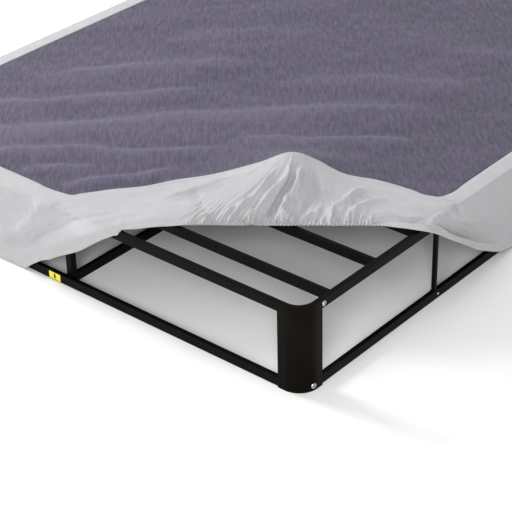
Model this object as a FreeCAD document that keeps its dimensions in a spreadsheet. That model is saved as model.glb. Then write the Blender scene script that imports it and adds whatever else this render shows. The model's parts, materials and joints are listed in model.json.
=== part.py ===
import FreeCAD, Part
import math
import os
import re

import Sketcher
from FreeCAD import Placement, Rotation, Vector

# Metal bed foundation with a fitted fabric cover.
# Frame: +Z up, X across the bed, Y along it, origin on the floor under the middle of the bed.
# "foot" is the -Y end, "head" the +Y end, "right" the +X side, "left" the -X side.
# The cover is fitted on three corners and turned back over the slats at the foot right corner.

DRIVING_SIZES = [
    ("frame_width", 1514.0, "across the outer faces of the side rails"),
    ("frame_length", 2026.0, "across the outer faces of the end rails"),
    ("frame_height", 228.6, "floor to the top of the slats"),
    ("rail_height", 25.4, "rail and slat tube, upright side"),
    ("rail_width", 12.7, "rail and slat tube, flat side"),
    ("rail_rounding", 2.0, "outer corner radius of the rail tube"),
    ("tube_wall", 1.2, "wall of every tube"),
    ("fit_gap", 0.2, "clearance of a tube that slides into another, each side"),
    ("bend_radius", 51.0, "outer radius of the bend in the end tubes"),
    ("return_length", 60.0, "end rail face to the end of the full size return"),
    ("shoulder_length", 3.0, "thick ring where the return steps down to its plug"),
    ("plug_length", 70.0, "reduced end that slides into the side rail"),
    ("guard_thickness", 3.0, "sheet of the corner guard"),
    ("guard_side_leg", 67.5, "guard edge on the side rail, from the end rail face"),
    ("guard_end_leg", 70.0, "guard edge on the end rail, from the side rail face"),
    ("guard_screw_turn", 14.5, "angle of the guard screw round the bend, degrees"),
    ("guard_screw_height", 13.5, "guard screw above the floor"),
    ("rail_bolt_reach", 75.5, "rail bolt from the end rail face"),
    ("bolt_hole_radius", 3.25, "clearance hole for a rail bolt or a post bolt"),
    ("bolt_radius", 3.0, "shank of a rail bolt or a post bolt"),
    ("screw_radius", 2.4, "shank of a guard screw"),
    ("screw_hole_radius", 2.5, "hole for a guard screw"),
    ("rivet_radius", 2.0, "shank of a rail rivet"),
    ("rivet_hole_radius", 2.1, "hole for a rail rivet"),
    ("bolt_head_radius", 7.0, "button head of a rail bolt or a guard screw"),
    ("bolt_head_height", 3.3, "button head, seat to crown"),
    ("post_bolt_head_radius", 4.8, "head of the bolts through the mid posts"),
    ("rivet_head_radius", 3.2, "head of a rail rivet"),
    ("rivet_head_height", 1.2, "head of a rail rivet"),
    ("nut_radius", 5.8, "corner radius of a hexagon nut"),
    ("nut_height", 4.5, "hexagon nut"),
    ("post_size", 11.0, "side and centre posts, square"),
    ("post_offset", 519.0, "quarter posts, from the end rail face"),
    ("post_bolt_inset", 35.0, "post bolts, from the rails above and below"),
    ("centre_post_size", 19.0, "square post behind the middle of each end rail"),
    ("first_slat", 108.4, "first slat, centre from the end rail face"),
    ("middle_slat_gap", 109.2, "between the two slats beside the middle"),
    ("spigot_length", 25.0, "stub inside the end of a slat or a centre beam"),
    ("rivet_reach", 529.0, "rail rivet from the end rail face"),
    ("sticker_width", 40.0, "arrow sticker on the lower end rail"),
    ("sticker_height", 20.0, "arrow sticker"),
    ("sticker_thickness", 0.3, "arrow sticker"),
    ("sticker_offset", 41.0, "sticker centre left of the middle of the end rail"),
    ("cover_clearance", 0.6, "screw heads to the elastic inside the skirt"),
    ("cover_top_gap", 0.4, "slats to the underside of the cover"),
    ("cover_cloth", 2.0, "cover, thickness of the cloth with its backing"),
    ("skirt_lift", 1.0, "floor to the hem of the skirt"),
    ("foot_hem_low", 900.0, "where the foot hem leaves the floor, from the right side rail"),
    ("foot_hem_middle", 745.0, "foot hem, halfway up"),
    ("foot_hem_middle_height", 96.0, "foot hem, halfway up"),
    ("foot_hem_top", 556.0, "where the foot hem crosses the end rail"),
    ("side_hem_low", 800.0, "where the side hem leaves the floor, from the end rail"),
    ("side_hem_middle", 620.0, "side hem, halfway up"),
    ("side_hem_middle_height", 108.0, "side hem, halfway up"),
    ("side_hem_top", 455.0, "where the side hem crosses the side rail"),
    ("foot_fold_start", 1000.0, "where the turned corner starts on the foot edge"),
    ("side_fold_start", 780.0, "where the turned corner starts on the side edge"),
    ("peak_inset_x", 395.0, "peak of the turned corner, in from the right side rail"),
    ("peak_inset_y", 448.0, "peak of the turned corner, in from the end rail"),
    ("peak_rise", 84.0, "peak of the turned corner above the slats"),
    ("tent_back_x", 600.0, "foot of the tent behind the peak, in from the side rail"),
    ("tent_back_y", 730.0, "foot of the tent behind the peak, in from the end rail"),
    ("gather_foot_x", 450.0, "foot end of the gathered hem, in from the side rail"),
    ("gather_foot_y", 117.0, "foot end of the gathered hem, in from the end rail"),
    ("gather_side_x", 92.0, "side end of the gathered hem, in from the side rail"),
    ("gather_side_y", 398.0, "side end of the gathered hem, in from the end rail"),
    ("elastic_width", 8.0, "elastic band in the hem"),
    ("elastic_thickness", 1.0, "elastic band in the hem"),
    ("elastic_gap", 0.3, "elastic band to the inside of the skirt"),
    ("elastic_reach", 260.0, "elastic on each side of a fitted corner"),
]
SLATS_PER_HALF = 6

doc = FreeCAD.newDocument("MetalBedFrame")
sheet = doc.addObject("Spreadsheet::Sheet", "Sizes")
ALIASES = set()
for row, (alias, size, note) in enumerate(DRIVING_SIZES, start=1):
    sheet.set(f"A{row}", alias)
    sheet.set(f"B{row}", str(size))
    sheet.set(f"C{row}", note)
    sheet.setAlias(f"B{row}", alias)
    ALIASES.add(alias)
doc.recompute()

nodes = {}


# ---------------------------------------------------------------- helpers
def bound(text):
    """Expression text with each alias written as a cell of the sheet."""
    return re.sub(r"[a-z_]+", lambda word: f"Sizes.{word[0]}" if word[0] in ALIASES else word[0], str(text))


def number(text):
    """Value of an expression in the sheet's aliases, for first guesses and for Part's functions."""
    found = sheet.evalExpression(bound(text))
    return float(getattr(found, "Value", found))


def place(item, x="0", y="0", z="0", rotation=None):
    """Put an object at a point given by expressions, turned by a fixed rotation."""
    item.Placement = Placement(Vector(), rotation or Rotation())
    for axis, text in zip("xyz", (x, y, z)):
        item.setExpression(f"Placement.Base.{axis}", bound(text))
    return item


def new_body(label):
    body = doc.addObject("PartDesign::Body", label)
    body.Label = label
    return body


def new_sketch(body, name, plane):
    """Sketch on one of the body's own origin planes."""
    sketch = body.newObject("Sketcher::SketchObject", name)
    support = next(item for item in body.Origin.OriginFeatures if item.Role == plane)
    sketch.AttachmentSupport = [(support, "")]
    sketch.MapMode = "FlatFace"
    return sketch


def constrain(sketch, name, text, *spec):
    """Add one driving dimension and bind it to an expression."""
    index = sketch.addConstraint(Sketcher.Constraint(*spec, number(text)))
    sketch.renameConstraint(index, name)
    sketch.setExpression(f"Constraints.{name}", bound(text))


def relate(sketch, *spec):
    sketch.addConstraint(Sketcher.Constraint(*spec))


def rounded_rectangle(sketch, prefix, across, up, radius):
    """Closed outline with round corners, centred on the sketch origin."""
    half_across, half_up, round_off = number(across) / 2, number(up) / 2, number(radius)
    corners = [(half_across, -half_up), (half_across, half_up),
               (-half_across, half_up), (-half_across, -half_up)]
    ends = [
        (Vector(-half_across + round_off, -half_up), Vector(half_across - round_off, -half_up)),
        (Vector(half_across, -half_up + round_off), Vector(half_across, half_up - round_off)),
        (Vector(half_across - round_off, half_up), Vector(-half_across + round_off, half_up)),
        (Vector(-half_across, half_up - round_off), Vector(-half_across, -half_up + round_off)),
    ]
    sides = [sketch.addGeometry(Part.LineSegment(*pair)) for pair in ends]
    arcs = []
    for step, (x, y) in enumerate(corners):
        centre = Vector(x - math.copysign(round_off, x), y - math.copysign(round_off, y))
        start = math.pi * (1.5 + 0.5 * step)
        circle = Part.Circle(centre, Vector(0, 0, 1), round_off)
        arcs.append(sketch.addGeometry(Part.ArcOfCircle(circle, start, start + math.pi / 2)))
    bottom, right, top, left = sides
    for step in range(4):
        relate(sketch, "Tangent", sides[step], 2, arcs[step], 1)
        relate(sketch, "Tangent", arcs[step], 2, sides[(step + 1) % 4], 1)
    for side in (bottom, top):
        relate(sketch, "Horizontal", side)
    for side in (right, left):
        relate(sketch, "Vertical", side)
    for arc in arcs[1:]:
        relate(sketch, "Equal", arcs[0], arc)
    constrain(sketch, f"{prefix}_radius", radius, "Radius", arcs[0])
    constrain(sketch, f"{prefix}_right", f"({across}) / 2", "DistanceX", -1, 1, right, 1)
    constrain(sketch, f"{prefix}_left", f"({across}) / 2", "DistanceX", left, 1, -1, 1)
    constrain(sketch, f"{prefix}_top", f"({up}) / 2", "DistanceY", -1, 1, top, 1)
    constrain(sketch, f"{prefix}_bottom", f"({up}) / 2", "DistanceY", bottom, 1, -1, 1)


def tube_outlines(sketch, across, up, radius, wall, inner_radius=None):
    rounded_rectangle(sketch, "outer", across, up, radius)
    rounded_rectangle(sketch, "inner", f"{across} - 2 * ({wall})", f"{up} - 2 * ({wall})",
                      inner_radius or f"{radius} - ({wall})")


def pad(body, sketch, length, symmetric=True, backwards=False):
    feature = body.newObject("PartDesign::Pad", f"{body.Name}_{sketch.Name}_pad")
    feature.Profile = sketch
    feature.SideType = "Symmetric" if symmetric else "One side"
    feature.Reversed = backwards
    feature.setExpression("Length", bound(length))
    return feature


PLANE_ACROSS = {"x": "YZ_Plane", "y": "XZ_Plane", "z": "XY_Plane"}


def straight_tube(label, direction, length, across, up, x="0", y="0", z="0",
                  radius="rail_rounding", wall="tube_wall", inner_radius=None):
    """Rounded rectangular tube centred on its placement, running along one axis."""
    body = new_body(label)
    sketch = new_sketch(body, "section", PLANE_ACROSS[direction])
    tube_outlines(sketch, across, up, radius, wall, inner_radius)
    pad(body, sketch, length)
    return place(body, x, y, z)


def rail_tube(label, direction, length, x, y, z):
    return straight_tube(label, direction, length, "rail_width", "rail_height", x, y, z)


def post_tube(label, size, length, x, y, z):
    return straight_tube(label, "z", length, size, size, x, y, z)


ALONG = {
    "+x": Rotation(Vector(0, 1, 0), 90),
    "-x": Rotation(Vector(0, 1, 0), -90),
    "+y": Rotation(Vector(1, 0, 0), -90),
    "-y": Rotation(Vector(1, 0, 0), 90),
    "+z": Rotation(),
}


def drill(radius, length, x, y, z, rotation):
    """Cylinder that runs from a point along a direction."""
    tool = doc.addObject("Part::Cylinder", "drill")
    tool.setExpression("Radius", bound(radius))
    tool.setExpression("Height", bound(length))
    return place(tool, x, y, z, rotation)


def combined(items, name):
    """One compound of several objects."""
    group = doc.addObject("Part::Compound", name)
    group.Links = items
    group.Label = name
    return group


def cut(label, base, tools):
    """Boolean difference whose tool may be several objects."""
    result = doc.addObject("Part::Cut", label)
    result.Base = base
    result.Tool = tools[0] if len(tools) == 1 else combined(tools, f"{label}_tools")
    result.Label = label
    return result


def mirrored(label, source, normal):
    copy = doc.addObject("Part::Mirroring", label)
    copy.Source = source
    copy.Normal = normal
    copy.Base = Vector()
    copy.Label = label
    return copy


def four_corners(source, pattern):
    """The foot right piece and its mirror copies, named with the pattern's {corner}."""
    names = {corner: pattern.format(corner=corner) for corner in
             ("foot_right", "foot_left", "head_right", "head_left")}
    source.Label = names["foot_right"]
    foot_left = mirrored(names["foot_left"], source, Vector(1, 0, 0))
    head_right = mirrored(names["head_right"], source, Vector(0, 1, 0))
    head_left = mirrored(names["head_left"], head_right, Vector(1, 0, 0))
    return {names["foot_right"]: source, names["foot_left"]: foot_left,
            names["head_right"]: head_right, names["head_left"]: head_left}


def turned_piece(label, profile):
    """Solid of revolution about its own Z axis, from (radius, height) pairs of expressions."""
    body = new_body(label)
    sketch = new_sketch(body, "profile", "XZ_Plane")
    points = [Vector(number(radius), number(height)) for radius, height in profile]
    sides = [sketch.addGeometry(Part.LineSegment(points[step], points[(step + 1) % len(points)]))
             for step in range(len(points))]
    for step, side in enumerate(sides):
        relate(sketch, "Coincident", side, 2, sides[(step + 1) % len(sides)], 1)
    for step, (radius, height) in enumerate(profile):
        for name, text, axis in (("radius", radius, "DistanceX"), ("height", height, "DistanceY")):
            if number(text) < 0:
                constrain(sketch, f"{name}_{step}", f"-({text})", axis, sides[step], 1, -1, 1)
            else:
                constrain(sketch, f"{name}_{step}", text, axis, -1, 1, sides[step], 1)
    turn = body.newObject("PartDesign::Revolution", f"{body.Name}_turn")
    turn.Profile = sketch
    turn.ReferenceAxis = (sketch, ["V_Axis"])
    turn.Angle = 360
    return body


def socket_bolt(name, head_radius, head_height, shank_radius, shank_length):
    """Button head bolt: seat at z = 0, head up, shank down, hexagon socket in the crown."""
    profile = [
        ("0", f"-({shank_length})"),
        (f"{shank_radius} - 0.5", f"-({shank_length})"),
        (shank_radius, f"0.5 - ({shank_length})"),
        (shank_radius, "0"),
        (head_radius, "0"),
        (head_radius, f"0.3 * {head_height}"),
        (f"0.86 * {head_radius}", f"0.7 * {head_height}"),
        (f"0.58 * {head_radius}", head_height),
        ("0", head_height),
    ]
    blank = turned_piece(f"{name}_blank", profile)
    socket = doc.addObject("Part::Prism", f"{name}_socket")
    socket.Polygon = 6
    socket.setExpression("Circumradius", bound(f"0.36 * {head_radius}"))
    socket.setExpression("Height", bound(head_height))
    place(socket, z=f"0.4 * {head_height}")
    return cut(name, blank, [socket])


def hexagon_nut(name):
    """Plain hexagon nut standing on z = 0."""
    blank = doc.addObject("Part::Prism", f"{name}_blank")
    blank.Polygon = 6
    blank.setExpression("Circumradius", bound("nut_radius"))
    blank.setExpression("Height", bound("nut_height"))
    bore = drill("bolt_hole_radius", "nut_height + 2", "0", "0", "-1", Rotation())
    return cut(name, blank, [bore])


def box(label, size_x, size_y, size_z, x, y, z):
    item = doc.addObject("Part::Box", label)
    for prop, text in (("Length", size_x), ("Width", size_y), ("Height", size_z)):
        item.setExpression(prop, bound(text))
    item.Label = label
    return place(item, x, y, z)


# ---------------------------------------------------------------- end frames
UPPER_Z = "frame_height - rail_height / 2"
LOWER_Z = "rail_height / 2"
RAIL_X = "frame_width / 2 - rail_width / 2"


def end_tube_spine(body):
    """Centre line of an end tube: return, bend, end rail, bend, return."""
    spine = new_sketch(body, "spine", "XY_Plane")
    rail_x, bend = number(RAIL_X), number("bend_radius - rail_width / 2")
    rail_y = -number("return_length - rail_width / 2")
    right = spine.addGeometry(Part.LineSegment(Vector(rail_x, 0), Vector(rail_x, rail_y + bend)))
    right_bend = spine.addGeometry(Part.ArcOfCircle(
        Part.Circle(Vector(rail_x - bend, rail_y + bend), Vector(0, 0, 1), bend), 1.5 * math.pi, 2 * math.pi))
    end_rail = spine.addGeometry(Part.LineSegment(Vector(rail_x - bend, rail_y),
                                                  Vector(bend - rail_x, rail_y)))
    left_bend = spine.addGeometry(Part.ArcOfCircle(
        Part.Circle(Vector(bend - rail_x, rail_y + bend), Vector(0, 0, 1), bend), math.pi, 1.5 * math.pi))
    left = spine.addGeometry(Part.LineSegment(Vector(-rail_x, rail_y + bend), Vector(-rail_x, 0)))
    relate(spine, "Tangent", right, 2, right_bend, 2)
    relate(spine, "Tangent", right_bend, 1, end_rail, 1)
    relate(spine, "Tangent", end_rail, 2, left_bend, 2)
    relate(spine, "Tangent", left_bend, 1, left, 1)
    for line in (right, left):
        relate(spine, "Vertical", line)
    relate(spine, "Horizontal", end_rail)
    relate(spine, "PointOnObject", right, 1, -1)
    relate(spine, "PointOnObject", left, 2, -1)
    relate(spine, "Equal", right_bend, left_bend)
    constrain(spine, "bend", "bend_radius - rail_width / 2", "Radius", right_bend)
    constrain(spine, "right_return", RAIL_X, "DistanceX", -1, 1, right, 1)
    constrain(spine, "left_return", RAIL_X, "DistanceX", left, 2, -1, 1)
    constrain(spine, "end_rail", "return_length - rail_width / 2", "DistanceY", end_rail, 1, -1, 1)
    return spine


PLUG_ACROSS = "rail_width - 2 * tube_wall - 2 * fit_gap"
PLUG_UP = "rail_height - 2 * tube_wall - 2 * fit_gap"
PLUG_ROUNDING = "rail_rounding - tube_wall"


def end_tube(label, height, at_head):
    """Bent tube of one end, with a reduced plug on each return for the side rail."""
    body = new_body(label)
    spine = end_tube_spine(body)
    section = new_sketch(body, "section", "XZ_Plane")
    section.setExpression("AttachmentOffset.Base.x", bound(RAIL_X))
    tube_outlines(section, "rail_width", "rail_height", "rail_rounding", "tube_wall")
    pipe = body.newObject("PartDesign::AdditivePipe", f"{label}_pipe")
    pipe.Profile = section
    pipe.Spine = (spine, [f"Edge{step}" for step in range(1, 6)])
    inner_across = f"{PLUG_ACROSS} - 2 * tube_wall"
    inner_up = f"{PLUG_UP} - 2 * tube_wall"
    for side, sign in (("right", ""), ("left", "-")):
        shoulder = new_sketch(body, f"{side}_shoulder", "XZ_Plane")
        rounded_rectangle(shoulder, "outer", "rail_width", "rail_height", "rail_rounding")
        rounded_rectangle(shoulder, "inner", inner_across, inner_up, "rail_rounding / 5")
        plug = new_sketch(body, f"{side}_plug", "XZ_Plane")
        rounded_rectangle(plug, "outer", PLUG_ACROSS, PLUG_UP, PLUG_ROUNDING)
        rounded_rectangle(plug, "inner", inner_across, inner_up, "rail_rounding / 5")
        for sketch in (shoulder, plug):
            sketch.setExpression("AttachmentOffset.Base.x", bound(f"{sign}({RAIL_X})"))
            sketch.setExpression("AttachmentOffset.Base.z", bound("shoulder_length"))
        pad(body, shoulder, "shoulder_length", symmetric=False, backwards=True)
        pad(body, plug, "shoulder_length + plug_length", symmetric=False, backwards=True)
    turn = Rotation(Vector(0, 0, 1), 180) if at_head else Rotation()
    sign = "" if at_head else "-"
    return place(body, "0", f"{sign}(frame_length / 2 - return_length)", height, turn)


def side_drill(reach, height, radius):
    """Drills through both side rails, square to them, at a reach from the foot end."""
    length = "2 * rail_width + 4"
    return [
        drill(radius, length, "frame_width / 2 - 2 * rail_width - 2", f"{reach} - frame_length / 2", height,
              ALONG["+x"]),
        drill(radius, length, "2 * rail_width + 2 - frame_width / 2", f"{reach} - frame_length / 2", height,
              ALONG["-x"]),
    ]


TURN = number("guard_screw_turn")
SCREW_AXIS = Rotation(Vector(0, 0, 1), Vector(math.cos(math.radians(TURN)), -math.sin(math.radians(TURN)), 0))


def on_bend(radius):
    """Point of the foot right bend at a radius, on the line of the guard screw."""
    return (f"frame_width / 2 - bend_radius + ({radius}) * cos(guard_screw_turn * 1 deg)",
            f"bend_radius - frame_length / 2 - ({radius}) * sin(guard_screw_turn * 1 deg)")


def guard_screw_drill():
    x, y = on_bend("bend_radius - rail_width / 2")
    return drill("screw_hole_radius", "rail_width", x, y, "guard_screw_height", SCREW_AXIS)


for end, at_head in (("foot", False), ("head", True)):
    for level, height in (("upper", UPPER_Z), ("lower", LOWER_Z)):
        label = f"{end}_{level}_end_tube"
        blank = end_tube(f"{label}_blank", height, at_head)
        if level == "upper":
            drills = side_drill("rail_bolt_reach", height, "bolt_hole_radius")
        else:
            first = guard_screw_drill()
            drills = [first, mirrored("drill_left", first, Vector(1, 0, 0))]
        if at_head:
            drills = [mirrored("drill_head", tool, Vector(0, 1, 0)) for tool in drills]
        nodes[label] = cut(label, blank, drills)


def corner_guard():
    """Bent sheet outside the foot right corner, full height of the frame."""
    body = new_body("corner_guard_blank")
    plan = new_sketch(body, "plan", "XY_Plane")
    sheet_t, bend = number("guard_thickness"), number("bend_radius")
    side_leg, end_leg = number("guard_side_leg"), number("guard_end_leg")
    centre = Vector(-bend, bend)
    up = Vector(0, 0, 1)

    def line(x0, y0, x1, y1):
        return plan.addGeometry(Part.LineSegment(Vector(x0, y0), Vector(x1, y1)))

    def quarter(radius):
        return plan.addGeometry(Part.ArcOfCircle(Part.Circle(centre, up, radius), 1.5 * math.pi, 2 * math.pi))

    outer_side = line(sheet_t, side_leg, sheet_t, bend)
    outer_bend = quarter(bend + sheet_t)
    outer_end = line(-bend, -sheet_t, -end_leg, -sheet_t)
    end_edge = line(-end_leg, -sheet_t, -end_leg, 0)
    inner_end = line(-end_leg, 0, -bend, 0)
    inner_bend = quarter(bend)
    inner_side = line(0, bend, 0, side_leg)
    side_edge = line(0, side_leg, sheet_t, side_leg)
    relate(plan, "Tangent", outer_side, 2, outer_bend, 2)
    relate(plan, "Tangent", outer_bend, 1, outer_end, 1)
    relate(plan, "Tangent", inner_end, 2, inner_bend, 1)
    relate(plan, "Tangent", inner_bend, 2, inner_side, 1)
    for first, second in ((outer_end, end_edge), (end_edge, inner_end),
                          (inner_side, side_edge), (side_edge, outer_side)):
        relate(plan, "Coincident", first, 2, second, 1)
    for upright in (outer_side, end_edge, inner_side):
        relate(plan, "Vertical", upright)
    for level in (outer_end, inner_end, side_edge):
        relate(plan, "Horizontal", level)
    relate(plan, "PointOnObject", inner_end, 1, -1)
    relate(plan, "PointOnObject", inner_side, 1, -2)
    constrain(plan, "side_thickness", "guard_thickness", "DistanceX", side_edge, 1, side_edge, 2)
    constrain(plan, "end_thickness", "guard_thickness", "DistanceY", end_edge, 1, end_edge, 2)
    constrain(plan, "side_leg", "guard_side_leg", "DistanceY", -1, 1, inner_side, 2)
    constrain(plan, "end_leg", "guard_end_leg", "DistanceX", inner_end, 1, -1, 1)
    constrain(plan, "inner_radius", "bend_radius", "Radius", inner_bend)
    constrain(plan, "outer_radius", "bend_radius + guard_thickness", "Radius", outer_bend)
    pad(body, plan, "frame_height", symmetric=False)
    place(body, "frame_width / 2", "-frame_length / 2", "0")
    return cut("corner_guard", body, [guard_screw_drill()])


nodes.update(four_corners(corner_guard(), "{corner}_corner_guard"))


def guard_screw():
    screw = socket_bolt("guard_screw", "bolt_head_radius", "bolt_head_height", "screw_radius",
                        "guard_thickness + tube_wall + 5")
    x, y = on_bend("bend_radius + guard_thickness")
    return place(screw, x, y, "guard_screw_height", SCREW_AXIS)


nodes["guard_screws"] = combined(list(four_corners(guard_screw(), "{corner}_guard_screw").values()),
                                 "guard_screws")

# ---------------------------------------------------------------- side frames
HALF_RAIL = "frame_length / 2 - return_length"
HALF_RAIL_Y = f"-({HALF_RAIL}) / 2"
POST_Y = "post_offset - frame_length / 2"

upper_blank = rail_tube("upper_rail_blank", "y", HALF_RAIL, RAIL_X, HALF_RAIL_Y, UPPER_Z)
upper_rail = cut("upper_rail", upper_blank, side_drill("rail_bolt_reach", UPPER_Z, "bolt_hole_radius")[:1])
nodes.update(four_corners(upper_rail, "{corner}_upper_rail"))

lower_blank = rail_tube("lower_rail_blank", "y", HALF_RAIL, RAIL_X, HALF_RAIL_Y, LOWER_Z)
rivet_drill = drill("rivet_hole_radius", "rail_width / 2 + 2", RAIL_X, "rivet_reach - frame_length / 2",
                    LOWER_Z, ALONG["+x"])
lower_rail = cut("lower_rail", lower_blank, [rivet_drill])
nodes.update(four_corners(lower_rail, "{corner}_lower_rail"))

SIDE_POST_LENGTH = "frame_height - 2 * rail_height"
quarter_post = post_tube("quarter_post", "post_size", SIDE_POST_LENGTH, RAIL_X, POST_Y, "frame_height / 2")
nodes.update(four_corners(quarter_post, "{corner}_post"))


def post_bolt_drills(x, low, high):
    """Drills along the bed through a pair of mid posts, near their lower and upper ends."""
    start, length = "-post_size - 2", "2 * post_size + 4"
    return [drill("bolt_hole_radius", length, x, start, f"{low} + post_bolt_inset", ALONG["+y"]),
            drill("bolt_hole_radius", length, x, start, f"{high} - post_bolt_inset", ALONG["+y"])]


def mid_post(name, x, low, high):
    """Post of the foot half beside the middle of the bed, drilled for the post bolts."""
    blank = post_tube(f"{name}_blank", "post_size", f"({high}) - ({low})", x, "-post_size / 2",
                      f"(({high}) + ({low})) / 2")
    return cut(name, blank, post_bolt_drills(x, low, high))


right_foot_mid = mid_post("right_mid_post", RAIL_X, "rail_height", "frame_height - rail_height")
mid_posts = list(four_corners(right_foot_mid, "{corner}_mid_post").values())
nodes["right_mid_posts"] = combined([mid_posts[0], mid_posts[2]], "right_mid_posts")
nodes["left_mid_posts"] = combined([mid_posts[1], mid_posts[3]], "left_mid_posts")

rail_bolt = socket_bolt("rail_bolt", "bolt_head_radius", "bolt_head_height", "bolt_radius",
                        "rail_width + nut_height + 1.5")
place(rail_bolt, "frame_width / 2", "rail_bolt_reach - frame_length / 2", UPPER_Z, ALONG["+x"])
nodes["rail_bolts"] = combined(list(four_corners(rail_bolt, "{corner}_rail_bolt").values()), "rail_bolts")

rail_nut = hexagon_nut("rail_nut")
place(rail_nut, "frame_width / 2 - rail_width", "rail_bolt_reach - frame_length / 2", UPPER_Z, ALONG["-x"])
nodes["rail_nuts"] = combined(list(four_corners(rail_nut, "{corner}_rail_nut").values()), "rail_nuts")

rivet = turned_piece("rail_rivet", [
    ("0", "-4"), ("rivet_radius", "-4"), ("rivet_radius", "0"), ("rivet_head_radius", "0"),
    ("0.8 * rivet_head_radius", "0.7 * rivet_head_height"), ("0.4 * rivet_head_radius", "rivet_head_height"),
    ("0", "rivet_head_height")])
place(rivet, "frame_width / 2", "rivet_reach - frame_length / 2", LOWER_Z, ALONG["+x"])
nodes["rail_rivets"] = combined(list(four_corners(rivet, "{corner}_rail_rivet").values()), "rail_rivets")

# ---------------------------------------------------------------- centre frame
CENTRE_POST_Y = "frame_length / 2 - rail_width - centre_post_size / 2"
BEAM_LENGTH = "frame_length / 2 - rail_width - centre_post_size"
BEAM_TOP_Z = "frame_height - 1.5 * rail_height"
INNER_POST_TOP = "frame_height - 2 * rail_height"

for end, sign in (("foot", "-"), ("head", "")):
    nodes[f"{end}_centre_post"] = post_tube(f"{end}_centre_post", "centre_post_size", "frame_height", "0",
                                            f"{sign}({CENTRE_POST_Y})", "frame_height / 2")
    for level, height in (("upper", BEAM_TOP_Z), ("lower", LOWER_Z)):
        label = f"{end}_{level}_centre_beam"
        nodes[label] = rail_tube(label, "y", BEAM_LENGTH, "0", f"{sign}({BEAM_LENGTH}) / 2", height)

inner_quarter = post_tube("foot_inner_post", "post_size", f"{INNER_POST_TOP} - rail_height", "0", POST_Y,
                          f"({INNER_POST_TOP} + rail_height) / 2")
inner_mid = mid_post("foot_inner_mid_post", "0", "rail_height", INNER_POST_TOP)
nodes["centre_struts"] = combined(
    [inner_quarter, inner_mid, mirrored("head_inner_post", inner_quarter, Vector(0, 1, 0)),
     mirrored("head_inner_mid_post", inner_mid, Vector(0, 1, 0))], "centre_struts")

post_bolts, post_nuts = [], []
for frame_name, x, high in (("right", RAIL_X, "frame_height - rail_height"),
                            ("left", f"-({RAIL_X})", "frame_height - rail_height"),
                            ("inner", "0", INNER_POST_TOP)):
    for level, z in (("lower", "rail_height + post_bolt_inset"), ("upper", f"{high} - post_bolt_inset")):
        bolt = socket_bolt(f"{frame_name}_{level}_post_bolt", "post_bolt_head_radius", "bolt_head_height",
                           "bolt_radius", "2 * post_size + nut_height + 1.5")
        post_bolts.append(place(bolt, x, "-post_size", z, ALONG["-y"]))
        nut = hexagon_nut(f"{frame_name}_{level}_post_nut")
        post_nuts.append(place(nut, x, "post_size", z, ALONG["+y"]))
nodes["post_bolts"] = combined(post_bolts, "post_bolts")
nodes["post_nuts"] = combined(post_nuts, "post_nuts")

# ---------------------------------------------------------------- slats
SLAT_PITCH = f"(frame_length / 2 - first_slat - middle_slat_gap / 2) / {SLATS_PER_HALF - 1}"
stubs = []


def stub(name, direction, x, y, z):
    """Short tube welded to a rail or post, inside the end of a slat or beam."""
    return straight_tube(name, direction, "spigot_length", PLUG_ACROSS, PLUG_UP, x, y, z,
                         radius=PLUG_ROUNDING, wall="tube_wall / 2",
                         inner_radius=f"({PLUG_ROUNDING}) / 4")


STUB_X = "frame_width / 2 - rail_width - spigot_length / 2"
for step in range(2 * SLATS_PER_HALF):
    from_foot = step < SLATS_PER_HALF
    count = step if from_foot else 2 * SLATS_PER_HALF - 1 - step
    sign = "-" if from_foot else ""
    slat_y = f"{sign}(frame_length / 2 - first_slat - {count} * ({SLAT_PITCH}))"
    label = f"slat_{step + 1:02d}"
    nodes[label] = rail_tube(label, "x", "frame_width - 2 * rail_width", "0", slat_y, UPPER_Z)
    for side in ("", "-"):
        stubs.append(stub(f"slat_stub_{len(stubs)}", "x", f"{side}({STUB_X})", slat_y, UPPER_Z))
nodes["slat_spigots"] = combined(stubs, "slat_spigots")

BEAM_STUB_Y = f"{BEAM_LENGTH} - spigot_length / 2"
nodes["beam_spigots"] = combined(
    [stub(f"beam_stub_{end}_{level}", "y", "0", f"{sign}({BEAM_STUB_Y})", z)
     for end, sign in (("foot", "-"), ("head", ""))
     for level, z in (("upper", BEAM_TOP_Z), ("lower", LOWER_Z))],
    "beam_spigots")

nodes["arrow_sticker"] = box("arrow_sticker", "sticker_width", "sticker_thickness", "sticker_height",
                             "-sticker_offset - sticker_width / 2",
                             "-frame_length / 2 - sticker_thickness",
                             "rail_height / 2 - sticker_height / 2")

# ---------------------------------------------------------------- cover
SIDE_GAP = "guard_thickness + bolt_head_height + cover_clearance + elastic_thickness + elastic_gap"
COVER_OUT = f"{SIDE_GAP} + cover_cloth"
COVER_WIDTH = f"frame_width + 2 * ({COVER_OUT})"
COVER_LENGTH = f"frame_length + 2 * ({COVER_OUT})"
COVER_ROUND = f"bend_radius + {COVER_OUT}"
SKIRT_HEIGHT = "frame_height + cover_top_gap - skirt_lift"
SPLIT = f"({COVER_ROUND}) * (1 - cos(45 deg))"


def cover_band(name):
    """Closed band all round the frame, later divided into the four sides of the skirt."""
    return straight_tube(name, "z", SKIRT_HEIGHT, COVER_WIDTH, COVER_LENGTH,
                         z=f"skirt_lift + ({SKIRT_HEIGHT}) / 2", radius=COVER_ROUND, wall="cover_cloth")


def common(label, base, tool):
    result = doc.addObject("Part::Common", label)
    result.Base = base
    result.Tool = tool
    result.Label = label
    return result


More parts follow.
